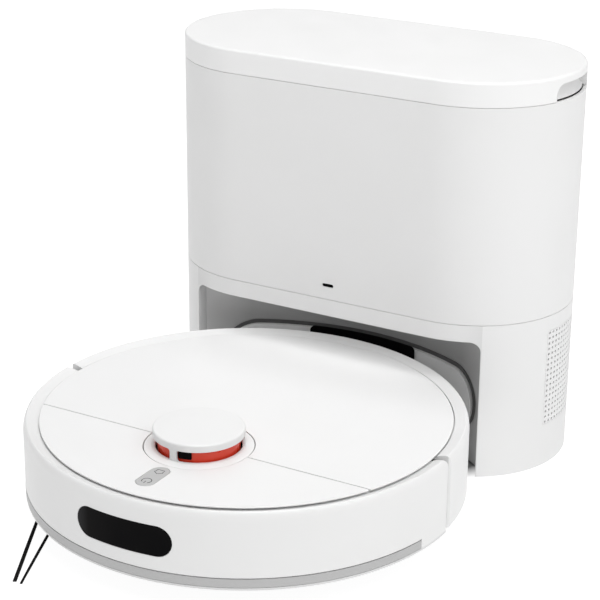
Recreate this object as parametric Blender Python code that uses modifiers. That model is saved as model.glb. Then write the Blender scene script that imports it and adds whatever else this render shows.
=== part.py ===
"""Robot vacuum parked in its dust-emptying dock, built as separate sub-parts.

Metres, +Z up, -Y is the front. The world origin is on the floor under the middle of the dock.
The robot's parts hang from an empty at the robot's own centre, in front of the dock, and are
written in coordinates from there. The dock's parts are written in world coordinates.
"""

import math

import bmesh
import bpy
from mathutils import Matrix, Vector

# --- Driving dimensions: robot ---
ROBOT_CENTRE_Y = -0.215
ROBOT_R = 0.175
WALL_INNER_R = 0.1724
SKIRT_Z = 0.025
SHOULDER_Z = 0.0795
RIM_R = 0.1715
RIM_Z = 0.087
DECK_R = 0.1622
DECK_LOW_Z = 0.0825
DECK_TOP_Z = 0.0852
SEAM_Y = -0.0695
SEAM_HALF_GAP = 0.0004
BUMPER_END_Y = 0.0015
SHELL_START_Y = 0.0055
STRIP_LOW_Z = 0.0275
STRIP_HIGH_Z = 0.0347
STRIP_END_Y = -0.0335
BUMPER_CORNER_R = 0.006
SHELL_CORNER_R = 0.0015
PAN_R = 0.160
PAN_BOTTOM_Z = 0.013
PAN_FLOOR_Z = 0.0155
PAN_TOP_Z = 0.0752
MID_LOW_Z = 0.0756
MID_TOP_Z = 0.0786
TURRET_CENTRE = (0.0, SEAM_Y)
TURRET_RING_R = 0.042
TURRET_CAP_R = 0.0352
TURRET_TOP_Z = 0.101
LIDAR_MOTOR_OFFSET = (0.046, -0.0185)
KEY_CENTRE = (0.0, -0.132)
KEY_R = 0.0075
KEY_HALF_STRAIGHT = 0.009
WHEEL_X = 0.118
WHEEL_R = 0.035
WHEEL_WIDTH = 0.018
ARM_PIVOT = (0.052, 0.040)
BRUSH_Y = -0.012
BRUSH_Z = 0.0195
BRUSH_R = 0.0188
CASTER_Y = -0.112
CASTER_R = 0.013
CASTER_TRAIL = 0.003
SIDE_BRUSH_XY = (-0.110, -0.100)
SIDE_BRUSH_REACH = 0.091
FAN_XY = (0.088, 0.087)
DUST_BOX_LOW = (-0.058, 0.016, 0.018)
DUST_BOX_HIGH = (0.058, 0.120, 0.064)
PORT_HALF_X = 0.019
PORT_LOW_Z = 0.032
PORT_HIGH_Z = 0.045
LID_HINGE = (0.0, 0.1617, DECK_TOP_Z)

# --- Driving dimensions: dock ---
DOCK_HALF_STRAIGHT = 0.0915
DOCK_R = 0.0858
DOCK_WALL = 0.003
FOOT_HEIGHT = 0.0015
LOWER_SEAM_Z = 0.137
LID_SEAM_Z = 0.3175
DOCK_HEIGHT = 0.3376
SEAM_GAP = 0.0004
BAY_R = 0.2045
BAY_HALF_X = 0.1352
BAY_CORNER_R = 0.009
BAY_ROOF_Z = 0.1225
PANEL_OUTER_R = 0.2041
PANEL_INNER_R = 0.1995
GRIP_HALF_Y = 0.031
GRIP_TOP_Z = 0.3315
GRIP_FOOT_Z = 0.3184
GRIP_SHALLOW = 0.0035
GRIP_DEEP = 0.014
GRIP_WALL = 0.002
DUCT_Y = 0.025
GRILLE_LOW_Z = 0.0395
GRILLE_HIGH_Z = 0.1235
GRILLE_HALF_ANGLE = math.radians(17.5)
CONTACT_X = 0.060

# --- Shared fineness and clearances ---
GAP = 0.0004
BIG_STEPS = 64
STEPS = 24
MERGE = 0.00001
YZ_PLANE = (math.pi / 2, 0.0, math.pi / 2)
XZ_PLANE = (math.pi / 2, 0.0, 0.0)
ALONG_X = (0.0, math.pi / 2, 0.0)
ALONG_MINUS_X = (0.0, -math.pi / 2, 0.0)
CENTRE = (0.0, 0.0, 0.0)


# --- Scene set-up ---
def clear_scene():
    for obj in list(bpy.data.objects):
        bpy.data.objects.remove(obj)


def new_collection(name):
    collection = bpy.data.collections.new(name)
    bpy.context.scene.collection.children.link(collection)
    return collection


def empty(name, location):
    obj = bpy.data.objects.new(name, None)
    PARTS.objects.link(obj)
    obj.location = location
    return obj


def material(name, colour, roughness, metallic=0.0):
    result = bpy.data.materials.new(name)
    result.use_nodes = True
    shader = result.node_tree.nodes["Principled BSDF"]
    shader.inputs["Base Color"].default_value = (*colour, 1.0)
    shader.inputs["Roughness"].default_value = roughness
    shader.inputs["Metallic"].default_value = metallic
    return result


# --- Solids ---
def add(name, mesh, home, at, turn, look):
    obj = bpy.data.objects.new(name, mesh)
    PARTS.objects.link(obj)
    obj.parent = home
    obj.location = at
    obj.rotation_euler = turn
    mesh.materials.clear()
    mesh.materials.append(look)
    return obj


def box(name, low, high, home, look=None, origin=None):
    """A box between two corners, whose origin is its middle or the given point."""
    low, high = Vector(low), Vector(high)
    middle = (low + high) / 2
    at = Vector(origin) if origin is not None else middle
    bm = bmesh.new()
    place = Matrix.Translation(middle - at) @ Matrix.Diagonal((*(high - low), 1.0))
    bmesh.ops.create_cube(bm, size=1.0, matrix=place)
    mesh = bpy.data.meshes.new(name)
    bm.to_mesh(mesh)
    bm.free()
    return add(name, mesh, home, at, (0, 0, 0), look)


def rod(name, radius, start, end, home, look=None, steps=STEPS):
    """A straight round bar between two points."""
    start, end = Vector(start), Vector(end)
    run = end - start
    bm = bmesh.new()
    bmesh.ops.create_cone(
        bm, cap_ends=True, segments=steps, radius1=radius, radius2=radius, depth=run.length
    )
    mesh = bpy.data.meshes.new(name)
    bm.to_mesh(mesh)
    bm.free()
    smooth(mesh)
    turn = run.to_track_quat("Z", "Y").to_euler()
    return add(name, mesh, home, (start + end) / 2, turn, look)


def turned(name, profile, home, look=None, at=(0, 0, 0), turn=(0, 0, 0), steps=STEPS):
    """Turns (radius, height) points round Z. A profile that starts and ends at radius 0 is solid."""
    loop = list(zip(profile, profile[1:] + profile[:1]))
    area = sum(a[0] * b[1] - b[0] * a[1] for a, b in loop)
    points = profile if area < 0 else profile[::-1]
    last = len(points) if min(r for r, z in points) > 0 else len(points) - 1
    edges = [(i, (i + 1) % len(points)) for i in range(last)]
    mesh = bpy.data.meshes.new(name)
    mesh.from_pydata([(r, 0.0, z) for r, z in points], edges, [])
    obj = add(name, mesh, home, at, turn, look)
    screw = obj.modifiers.new("Turn", "SCREW")
    screw.steps = screw.render_steps = steps
    screw.use_merge_vertices = True
    screw.merge_threshold = MERGE
    settle(obj, look)
    return obj


def plate(name, outlines, low, high, home, look=None, at=(0, 0, 0), turn=(0, 0, 0)):
    """A flat outline, with any holes, given thickness from low to high along its own Z."""
    curve = bpy.data.curves.new(name, "CURVE")
    curve.dimensions = "2D"
    curve.fill_mode = "BOTH"
    curve.extrude = (high - low) / 2
    for outline in outlines:
        spline = curve.splines.new("POLY")
        spline.points.add(len(outline) - 1)
        spline.use_cyclic_u = True
        for point, (x, y) in zip(spline.points, outline):
            point.co = (x, y, 0.0, 1.0)
    guide = bpy.data.objects.new(name + "_outline", curve)
    CUTTERS.objects.link(guide)
    graph = bpy.context.evaluated_depsgraph_get()
    mesh = bpy.data.meshes.new_from_object(guide.evaluated_get(graph))
    bpy.data.objects.remove(guide)
    weld(mesh)
    mesh.transform(Matrix.Translation((0, 0, (low + high) / 2)))
    smooth(mesh)
    return add(name, mesh, home, at, turn, look)


def pipe(name, route, radius, thickness, home, look):
    """A hollow tube along a list of points, open at both ends."""
    curve = bpy.data.curves.new(name, "CURVE")
    curve.dimensions = "3D"
    curve.bevel_depth = radius
    curve.bevel_resolution = 4
    curve.use_fill_caps = False
    spline = curve.splines.new("POLY")
    spline.points.add(len(route) - 1)
    for point, place in zip(spline.points, route):
        point.co = (*place, 1.0)
    guide = bpy.data.objects.new(name + "_route", curve)
    CUTTERS.objects.link(guide)
    graph = bpy.context.evaluated_depsgraph_get()
    mesh = bpy.data.meshes.new_from_object(guide.evaluated_get(graph))
    bpy.data.objects.remove(guide)
    weld(mesh)
    smooth(mesh)
    obj = add(name, mesh, home, (0, 0, 0), (0, 0, 0), look)
    wall = obj.modifiers.new("Wall", "SOLIDIFY")
    wall.thickness = thickness
    wall.offset = -1.0
    return obj


def weld(mesh):
    bm = bmesh.new()
    bm.from_mesh(mesh)
    bmesh.ops.remove_doubles(bm, verts=bm.verts, dist=MERGE)
    bmesh.ops.recalc_face_normals(bm, faces=bm.faces)
    bm.to_mesh(mesh)
    bm.free()


def smooth(mesh):
    mesh.shade_smooth()
    mesh.set_sharp_from_angle(angle=math.radians(32))


def settle(obj, look):
    """Replaces an object's mesh by the one its modifiers make."""
    bpy.context.view_layer.update()
    graph = bpy.context.evaluated_depsgraph_get()
    mesh = bpy.data.meshes.new_from_object(obj.evaluated_get(graph))
    obj.modifiers.clear()
    obj.data = mesh
    smooth(mesh)
    mesh.materials.clear()
    mesh.materials.append(look)


def bevel(obj, width, segments=2):
    rounding = obj.modifiers.new("Round edges", "BEVEL")
    rounding.width = width
    rounding.segments = segments
    return obj


# --- Joining and cutting ---
def combine(target, tool, operation):
    step = target.modifiers.new(tool.name, "BOOLEAN")
    step.operation = operation
    step.solver = "EXACT"
    step.object = tool
    if tool.name in PARTS.objects:
        PARTS.objects.unlink(tool)
        CUTTERS.objects.link(tool)
    tool.hide_render = True
    tool.display_type = "WIRE"


def cut(target, *tools):
    for tool in tools:
        combine(target, tool, "DIFFERENCE")


def join(target, *tools):
    for tool in tools:
        combine(target, tool, "UNION")


def keep(target, tool):
    combine(target, tool, "INTERSECT")


# --- Outlines ---
def arc(centre, radius, start, end, steps):
    """Points along an arc, both ends included, with angles in degrees."""
    angles = [math.radians(start + (end - start) * i / steps) for i in range(steps + 1)]
    return [(centre[0] + radius * math.cos(a), centre[1] + radius * math.sin(a)) for a in angles]


def circle(centre, radius, steps=STEPS):
    return arc(centre, radius, 0, 360, steps)[:-1]


def stadium(half_straight, radius, steps=16):
    """A long round-ended outline along X, centred on the origin."""
    right = arc((half_straight, 0), radius, -90, 90, steps)
    left = arc((-half_straight, 0), radius, 90, 270, steps)
    return right + left


def rounded_rectangle(low, high, radius, steps=4):
    (x0, y0), (x1, y1) = low, high
    corners = (
        ((x1 - radius, y1 - radius), 0),
        ((x0 + radius, y1 - radius), 90),
        ((x0 + radius, y0 + radius), 180),
        ((x1 - radius, y0 + radius), 270),
    )
    points = []
    for centre, start in corners:
        points += arc(centre, radius, start, start + 90, steps)
    return points


def two_circle_hull(first, first_r, second, second_r, steps=14):
    """The outline of a belt laid round two circles."""
    dx, dy = second[0] - first[0], second[1] - first[1]
    heading = math.degrees(math.atan2(dy, dx))
    lean = math.degrees(math.acos((first_r - second_r) / math.hypot(dx, dy)))
    around_first = arc(first, first_r, heading + lean, heading + 360 - lean, steps)
    around_second = arc(second, second_r, heading - lean, heading + lean, steps)
    return around_first + around_second


# --- Looks ---
def make_looks():
    return {
        "shell": material("white_shell", (0.87, 0.87, 0.865), 0.42),
        "trim": material("grey_trim", (0.48, 0.48, 0.48), 0.45),
        "black": material("black_gloss", (0.01, 0.01, 0.011), 0.12),
        "frame": material("dark_frame", (0.05, 0.05, 0.055), 0.55),
        "grey": material("inner_grey", (0.3, 0.3, 0.31), 0.5),
        "red": material("rotor_red", (0.5, 0.03, 0.012), 0.35),
        "rubber": material("black_rubber", (0.02, 0.02, 0.02), 0.8),
        "steel": material("steel", (0.62, 0.62, 0.63), 0.3, 1.0),
        "brass": material("contact_metal", (0.75, 0.7, 0.6), 0.25, 1.0),
        "board": material("circuit_board", (0.02, 0.12, 0.05), 0.5),
        "cell": material("battery_wrap", (0.03, 0.06, 0.16), 0.5),
        "paper": material("filter_paper", (0.78, 0.77, 0.72), 0.9),
        "bag": material("bag_fleece", (0.7, 0.7, 0.68), 0.95),
        "bristle": material("bristle", (0.015, 0.015, 0.015), 0.6),
        "clear": material("smoky_plastic", (0.16, 0.16, 0.17), 0.2),
    }


# --- Robot: casing ---
def wall_profile(inner_r, inner_z):
    """Section of the robot's side wall and its rolled rim, out from the inner edge of the rim."""
    rise = RIM_Z - SHOULDER_Z
    shoulder = [
        (RIM_R + (ROBOT_R - RIM_R) * math.cos(a), SHOULDER_Z + rise * math.sin(a))
        for a in (math.radians(angle) for angle in (0, 25, 50, 70, 90))
    ]
    rim_underside = [(inner_r, inner_z - 0.0018), (0.169, 0.0826), (WALL_INNER_R, 0.0785)]
    return [(WALL_INNER_R, SKIRT_Z), (ROBOT_R, SKIRT_Z)] + shoulder + [(inner_r, inner_z)] + rim_underside


def end_corner(name, y, direction, radius):
    """Cutter that rounds the top corner of a wall that ends at y, towards direction."""
    top = RIM_Z + 0.001
    middle = (y - direction * radius, RIM_Z - radius)
    rounding = arc(middle, radius, 0 if direction > 0 else 180, 90, 6)
    outside = [(middle[0], top), (y + direction * 0.002, top), (y + direction * 0.002, middle[1])]
    return plate(name, [rounding + outside], -0.2, 0.2, ROBOT, turn=YZ_PLANE)


def ring_section(name, inner_r, outer_r, low, high, home=None, look=None, at=(0, 0, 0)):
    profile = [(inner_r, low), (outer_r, low), (outer_r, high), (inner_r, high)]
    return turned(name, profile, home or ROBOT, look, at=at, steps=BIG_STEPS)


def window_outline(margin):
    return [(x, z + 0.0585) for x, z in stadium(0.0289, 0.012 + margin, 10)]


def window_prism(name, margin):
    """A bar along Y in the shape of the bumper's window, through the front wall only."""
    return plate(name, [window_outline(margin)], 0.15, 0.19, ROBOT, turn=XZ_PLANE)


def make_bumper():
    bumper = turned(
        "front_bumper", wall_profile(0.1620, 0.0826), ROBOT, LOOK["shell"], steps=BIG_STEPS
    )
    rear = box("bumper_rear_cut", (-0.2, BUMPER_END_Y, 0.0), (0.2, 0.2, 0.1), ROBOT)
    groove = ring_section("strip_groove", 0.1734, 0.177, STRIP_LOW_Z - 0.0003, STRIP_HIGH_Z + 0.0003)
    cut(groove, box("groove_ends", (-0.2, STRIP_END_Y + GAP, 0.0), (0.2, 0.2, 0.1), ROBOT))
    corner = end_corner("bumper_corner", BUMPER_END_Y, 1, BUMPER_CORNER_R)
    cut(bumper, rear, corner, groove, window_prism("window_hole", GAP))
    window = ring_section("bumper_window", 0.1726, 0.1749, 0.040, 0.077, look=LOOK["black"])
    keep(window, window_prism("window_shape", 0.0))
    strip = ring_section("bumper_strip", 0.1737, 0.1749, STRIP_LOW_Z, STRIP_HIGH_Z, look=LOOK["trim"])
    cut(strip, box("strip_ends", (-0.2, STRIP_END_Y, 0.0), (0.2, 0.2, 0.1), ROBOT))


def make_rear_shell():
    shell = turned(
        "rear_shell", wall_profile(0.1630, 0.0846), ROBOT, LOOK["shell"], steps=BIG_STEPS
    )
    front = box("shell_front_cut", (-0.2, -0.2, 0.0), (0.2, SHELL_START_Y, 0.1), ROBOT)
    sleeve = box(
        "port_sleeve",
        (-PORT_HALF_X - 0.005, 0.1555, PORT_LOW_Z - 0.005),
        (PORT_HALF_X + 0.005, 0.1730, PORT_HIGH_Z + 0.005),
        ROBOT,
    )
    mouth = box(
        "port_mouth",
        (-PORT_HALF_X - 0.003, 0.150, PORT_LOW_Z - 0.003),
        (PORT_HALF_X + 0.003, 0.180, PORT_HIGH_Z + 0.003),
        ROBOT,
    )
    cut(shell, front, end_corner("shell_corner", SHELL_START_Y, -1, SHELL_CORNER_R))
    join(shell, sleeve)
    cut(shell, mouth)
    for side, sign in (("left", -1), ("right", 1)):
        pad = ring_section("charge_contact_" + side, 0.1733, 0.1749, 0.032, 0.044, look=LOOK["brass"])
        keep(pad, contact_block(side + "_pad_shape", sign, 0.0))
        cut(shell, contact_block(side + "_pad_hole", sign, GAP))


def contact_block(name, sign, margin):
    """A block through the rear wall where one of the robot's charging contacts sits."""
    x0, x1 = sorted((sign * (CONTACT_X - 0.005 - margin), sign * (CONTACT_X + 0.005 + margin)))
    return box(name, (x0, 0.150, 0.032 - margin), (x1, 0.180, 0.044 + margin), ROBOT)


def top_disc(name, look):
    """The robot's whole top as one disc, thinned under its edge, before it is cut in two."""
    profile = [
        (0.0, DECK_TOP_Z),
        (DECK_R, DECK_TOP_Z),
        (DECK_R, DECK_TOP_Z - 0.001),
        (DECK_R - 0.0035, DECK_LOW_Z),
        (0.0, DECK_LOW_Z),
    ]
    return turned(name, profile, ROBOT, look, steps=BIG_STEPS)


def turret_hole(name):
    outline = [circle(TURRET_CENTRE, TURRET_RING_R + GAP, 48)]
    return plate(name, outline, 0.070, 0.090, ROBOT)


def key_outline(margin):
    upright = stadium(KEY_HALF_STRAIGHT, KEY_R + margin, 8)
    return [(KEY_CENTRE[0] - y, KEY_CENTRE[1] + x) for x, y in upright]


def make_top():
    deck = top_disc("front_deck", LOOK["shell"])
    cut(
        deck,
        box("deck_back_cut", (-0.2, SEAM_Y - SEAM_HALF_GAP, 0.07), (0.2, 0.2, 0.09), ROBOT),
        turret_hole("deck_turret_hole"),
        plate("deck_key_hole", [key_outline(GAP)], 0.070, 0.090, ROBOT),
    )
    lid = top_disc("rear_lid", LOOK["shell"])
    lid.location = LID_HINGE
    lid.data.transform(Matrix.Translation(-Vector(LID_HINGE)))
    cut(
        lid,
        box("lid_front_cut", (-0.2, -0.2, 0.07), (0.2, SEAM_Y + SEAM_HALF_GAP, 0.09), ROBOT),
        turret_hole("lid_turret_hole"),
    )
    key_low, key_high = 0.0822, 0.0854
    hinge = (KEY_CENTRE[0], KEY_CENTRE[1], (key_low + key_high) / 2)
    local = [(x - hinge[0], y - hinge[1]) for x, y in key_outline(0.0)]
    plate("key_rocker", [local], key_low - hinge[2], key_high - hinge[2], ROBOT, LOOK["trim"], at=hinge)


# --- Robot: chassis ---
def make_chassis():
    profile = [
        (0.0, PAN_FLOOR_Z),
        (0.148, PAN_FLOOR_Z),
        (PAN_R - 0.0025, 0.025),
        (PAN_R - 0.0025, PAN_TOP_Z),
        (PAN_R, PAN_TOP_Z),
        (PAN_R, 0.024),
        (0.1495, PAN_BOTTOM_Z),
        (0.0, PAN_BOTTOM_Z),
    ]
    pan = turned("chassis", profile, ROBOT, LOOK["frame"], steps=BIG_STEPS)
    socket_profile = [
        (0.0205, 0.014), (0.0205, 0.036), (0.0045, 0.036),
        (0.0045, 0.0335), (0.0182, 0.0335), (0.0182, 0.014),
    ]
    caster_at = (0.0, CASTER_Y, 0.0)
    join(pan, turned("caster_socket", socket_profile, ROBOT, at=caster_at))
    for sign in (-1, 1):
        ear_x = sorted((sign * 0.107, sign * 0.110))
        join(pan, box(f"arm_ear_{sign}", (ear_x[0], 0.046, 0.015), (ear_x[1], 0.058, 0.048), ROBOT))
        pin_ends = [(sign * x, *ARM_PIVOT) for x in (0.104, 0.112)]
        well_x = sorted((sign * 0.0915, sign * 0.1295))
        cut(
            pan,
            rod(f"arm_pin_hole_{sign}", 0.0034, *pin_ends, ROBOT),
            box(f"wheel_well_{sign}", (well_x[0], -0.038, 0.0), (well_x[1], 0.0425, 0.0175), ROBOT),
        )
    cut(
        pan,
        rod("caster_hole", 0.0178, (0, CASTER_Y, 0.0), (0, CASTER_Y, 0.020), ROBOT),
        box("brush_hole", (-0.0865, -0.0355, 0.0), (0.0865, 0.0115, 0.0175), ROBOT),
        rod("side_shaft_hole", 0.0035, (*SIDE_BRUSH_XY, 0.0), (*SIDE_BRUSH_XY, 0.030), ROBOT),
        box(
            "pan_port_hole",
            (-PORT_HALF_X - 0.0055, 0.140, PORT_LOW_Z - 0.0055),
            (PORT_HALF_X + 0.0055, 0.170, PORT_HIGH_Z + 0.0055),
            ROBOT,
        ),
    )


def shifted(points, centre):
    return [(x + centre[0], y + centre[1]) for x, y in points]


def make_mid_frame():
    lidar = shifted(two_circle_hull((0, 0), 0.041, LIDAR_MOTOR_OFFSET, 0.013), TURRET_CENTRE)
    dust = rounded_rectangle((-0.061, 0.013), (0.061, 0.124), 0.006)
    outline = circle((0, 0), PAN_R, BIG_STEPS)
    plate("mid_frame", [outline, lidar, dust], MID_LOW_Z, MID_TOP_Z, ROBOT, LOOK["frame"])


# --- Robot: distance sensor turret ---
def make_turret():
    at = (*TURRET_CENTRE, 0.0)
    ring = [(0.042, 0.0828), (0.042, 0.0851), (0.036, 0.0864), (0.033, 0.0864), (0.033, 0.0828)]
    turned("turret_ring", ring, ROBOT, LOOK["shell"], at=at, steps=48)
    cap_profile = [
        (0.0, TURRET_TOP_Z), (0.0337, TURRET_TOP_Z), (0.0347, TURRET_TOP_Z - 0.0004),
        (TURRET_CAP_R, TURRET_TOP_Z - 0.0015), (TURRET_CAP_R, 0.095), (0.0327, 0.095),
        (0.0327, 0.0985), (0.0, 0.0985),
    ]
    cap = turned("turret_cap", cap_profile, ROBOT, LOOK["shell"], at=at, steps=48)
    pillar_profile = [(0.0331, 0.0868), (0.0351, 0.0868), (0.0351, 0.096), (0.0331, 0.096)]
    for index, angle in enumerate((-91.0, 29.0, 149.0)):
        pillar = turned(f"pillar_{index}", pillar_profile, ROBOT, at=at, steps=48)
        slot = box(f"pillar_width_{index}", (0.02, -0.003, 0.08), (0.045, 0.003, 0.1), ROBOT, origin=CENTRE)
        slot.location = at
        slot.rotation_euler = (0, 0, math.radians(angle))
        keep(pillar, slot)
        join(cap, pillar)


def make_lidar():
    at = (*TURRET_CENTRE, 0.0)
    motor_xy = shifted([LIDAR_MOTOR_OFFSET], TURRET_CENTRE)[0]
    base_outline = two_circle_hull((0, 0), 0.038, LIDAR_MOTOR_OFFSET, 0.010)
    base = plate("lidar_base", [base_outline], 0.0723, 0.0748, ROBOT, LOOK["frame"], at=at)
    boss = [(0.0125, 0.0735), (0.0155, 0.0735), (0.0155, 0.088), (0.0125, 0.088)]
    join(base, turned("lidar_boss", boss, ROBOT, at=at))
    cut(base, rod("lidar_shaft_hole", 0.0016, (*motor_xy, 0.06), (*motor_xy, 0.08), ROBOT, steps=16))
    rotor = [
        (0.016, 0.0762), (0.0281, 0.0762), (0.0281, 0.0806), (0.0315, 0.0806),
        (0.0315, 0.0942), (0.0295, 0.0942), (0.0295, 0.083), (0.016, 0.083),
    ]
    turned("lidar_rotor", rotor, ROBOT, LOOK["red"], at=at, steps=48)
    lens_profile = [(0.0318, 0.088), (0.0325, 0.088), (0.0325, 0.0941), (0.0318, 0.0941)]
    lens = turned("lidar_window", lens_profile, ROBOT, LOOK["black"], at=at, steps=96)
    wedge = box("lens_width", (0.02, -0.0053, 0.08), (0.04, 0.0053, 0.1), ROBOT, origin=CENTRE)
    wedge.location = at
    wedge.rotation_euler = (0, 0, math.radians(-90 + 13.5))
    keep(lens, wedge)
    belt_outer = two_circle_hull((0, 0), 0.0296, LIDAR_MOTOR_OFFSET, 0.0061)
    belt_inner = two_circle_hull((0, 0), 0.0285, LIDAR_MOTOR_OFFSET, 0.0050)
    plate("lidar_belt", [belt_outer, belt_inner], 0.0774, 0.0794, ROBOT, LOOK["rubber"], at=at)
    pulley = [
        (0.0, 0.081), (0.0056, 0.081), (0.0056, 0.0799), (0.0045, 0.0799), (0.0045, 0.0768),
        (0.0056, 0.0768), (0.0056, 0.0757), (0.001, 0.0757), (0.001, 0.073), (0.0, 0.073),
    ]
    turned("lidar_pulley", pulley, ROBOT, LOOK["grey"], at=(*motor_xy, 0.0), steps=20)
    rod("lidar_motor", 0.008, (*motor_xy, 0.0575), (*motor_xy, 0.0720), ROBOT, LOOK["steel"], 24)


# --- Robot: wheels ---
def make_drive_wheel(side, sign):
    centre = (sign * WHEEL_X, 0.0, WHEEL_R)
    half = WHEEL_WIDTH / 2
    turn = ALONG_X if sign > 0 else ALONG_MINUS_X
    tread = [
        (0.0273, -half), (0.0335, -half), (WHEEL_R, -half + 0.002),
        (WHEEL_R, half - 0.002), (0.0335, half), (0.0273, half),
    ]
    turned(side + "_tyre", tread, ROBOT, LOOK["rubber"], at=centre, turn=turn, steps=40)
    rim = [
        (0.0, half - 0.003), (0.008, half - 0.003), (0.010, half - 0.0005), (0.027, half - 0.0005),
        (0.027, -half + 0.0005), (0.0044, -half + 0.0005), (0.0044, 0.0015), (0.0, 0.0015),
    ]
    turned(side + "_rim", rim, ROBOT, LOOK["grey"], at=centre, turn=turn, steps=32)


def make_wheel_arm(side, sign):
    """The swinging gearbox that carries a drive wheel, with its motor inboard."""
    pivot = (0.0, *ARM_PIVOT)
    axle_y, axle_z = -ARM_PIVOT[0], WHEEL_R - ARM_PIVOT[1]
    outline = two_circle_hull((axle_y, axle_z), 0.014, (0.0, 0.0), 0.008)
    low, high = sorted((sign * 0.094, sign * 0.106))
    arm = plate(side + "_wheel_arm", [outline], low, high, ROBOT, LOOK["grey"], at=pivot, turn=YZ_PLANE)
    join(
        arm,
        rod(side + "_axle", 0.004, (sign * 0.105, 0, WHEEL_R), (sign * 0.1188, 0, WHEEL_R), ROBOT),
        rod(side + "_arm_pin", 0.003, (sign * 0.105, *ARM_PIVOT), (sign * 0.1104, *ARM_PIVOT), ROBOT),
    )
    motor_ends = [(sign * x, 0.030, 0.040) for x in (0.062, 0.0937)]
    rod(side + "_wheel_motor", 0.013, *motor_ends, ROBOT, LOOK["steel"])


def make_caster():
    at = (0.0, CASTER_Y, 0.0)
    wheel_y = CASTER_Y - CASTER_TRAIL
    body = [(0.0, 0.038), (0.004, 0.038), (0.004, 0.031), (0.0175, 0.031), (0.0175, 0.011), (0.0, 0.011)]
    fork = turned("caster_fork", body, ROBOT, LOOK["frame"], at=at)
    pin_ends = [(x, wheel_y, CASTER_R) for x in (-0.010, 0.010)]
    cut(
        fork,
        box("caster_slot", (-0.0072, wheel_y - 0.0150, 0.0), (0.0072, wheel_y + 0.0150, 0.0275), ROBOT),
        rod("caster_pin_bore", 0.0024, *pin_ends, ROBOT, steps=16),
    )
    wheel = [
        (0.0, 0.0096), (0.002, 0.0096), (0.002, 0.0067), (0.012, 0.0067), (CASTER_R, 0.0055),
        (CASTER_R, -0.0055), (0.012, -0.0067), (0.002, -0.0067), (0.002, -0.0096), (0.0, -0.0096),
    ]
    turned("caster_wheel", wheel, ROBOT, LOOK["rubber"], at=(0, wheel_y, CASTER_R), turn=ALONG_X, steps=28)


# --- Robot: brushes ---
def make_main_brush():
    axis = (0.0, BRUSH_Y, BRUSH_Z)
    roller = [
        (0.0, 0.0836), (0.003, 0.0836), (0.003, 0.080), (BRUSH_R, 0.080),
        (BRUSH_R, -0.080), (0.003, -0.080), (0.003, -0.0836), (0.0, -0.0836),
    ]
    turned("main_brush", roller, ROBOT, LOOK["bristle"], at=axis, turn=ALONG_X)
    housing = box("brush_housing", (-0.088, -0.037, 0.016), (0.088, 0.013, 0.044), ROBOT, LOOK["frame"])
    cavity_ends = [(x, BRUSH_Y, BRUSH_Z) for x in (-0.081, 0.081)]
    bore_ends = [(x, BRUSH_Y, BRUSH_Z) for x in (-0.0842, 0.0842)]
    cut(
        housing,
        rod("brush_cavity", 0.0215, *cavity_ends, ROBOT),
        box("brush_mouth", (-0.081, -0.0335, 0.010), (0.081, 0.0095, BRUSH_Z), ROBOT),
        rod("brush_bores", 0.0034, *bore_ends, ROBOT, steps=16),
        box("brush_outlet", (-0.030, 0.002, 0.025), (0.030, 0.016, 0.035), ROBOT),
    )
    outer = rounded_rectangle((-0.0860, -0.0350), (0.0860, 0.0110), 0.002, 2)
    inner = rounded_rectangle((-0.0820, -0.0315), (0.0820, 0.0075), 0.002, 2)
    plate("brush_guard", [outer, inner], 0.0130, 0.0155, ROBOT, LOOK["frame"])
    rod("brush_motor", 0.012, (-0.085, -0.052, 0.030), (-0.045, -0.052, 0.030), ROBOT, LOOK["steel"], 24)


def make_side_brush():
    x, y = SIDE_BRUSH_XY
    at = (x, y, 0.0)
    hub = [
        (0.0, 0.0282), (0.0025, 0.0282), (0.0025, 0.0125), (0.010, 0.0125), (0.011, 0.0115),
        (0.011, 0.008), (0.007, 0.0062), (0.0, 0.0062),
    ]
    turned("side_brush_hub", hub, ROBOT, LOOK["frame"], at=at, steps=28)
    collar = [(0.0114, 0.0082), (0.0138, 0.0082), (0.0138, 0.0112), (0.0114, 0.0112)]
    tufts = turned("side_brush_bristles", collar, ROBOT, LOOK["bristle"], at=at, steps=28)
    root = Vector((0.0125, 0.0, 0.0096))
    length = SIDE_BRUSH_REACH - root.x
    lean = Matrix.Rotation(math.asin(0.0078 / length), 4, "Y")
    for index, angle in enumerate((-72.0, 108.0)):
        tuft = box(f"tuft_{index}", (0.0, -0.0016, -0.0009), (length, 0.0016, 0.0009), ROBOT, origin=CENTRE)
        heading = Matrix.Rotation(math.radians(angle), 4, "Z")
        tuft.data.transform(heading @ Matrix.Translation(root) @ lean)
        tuft.location = at
        join(tufts, tuft)
    motor_xy = (-0.098, -0.089)
    gearbox = two_circle_hull(motor_xy, 0.0122, SIDE_BRUSH_XY, 0.0078)
    drive = plate("side_brush_motor", [gearbox], 0.0242, 0.0310, ROBOT, LOOK["frame"])
    join(drive, rod("side_motor_can", 0.0105, (*motor_xy, 0.030), (*motor_xy, 0.050), ROBOT))
    bore_ends = [(*SIDE_BRUSH_XY, z) for z in (0.020, 0.0290)]
    cut(drive, rod("side_shaft_bore", 0.0030, *bore_ends, ROBOT, steps=16))


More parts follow.
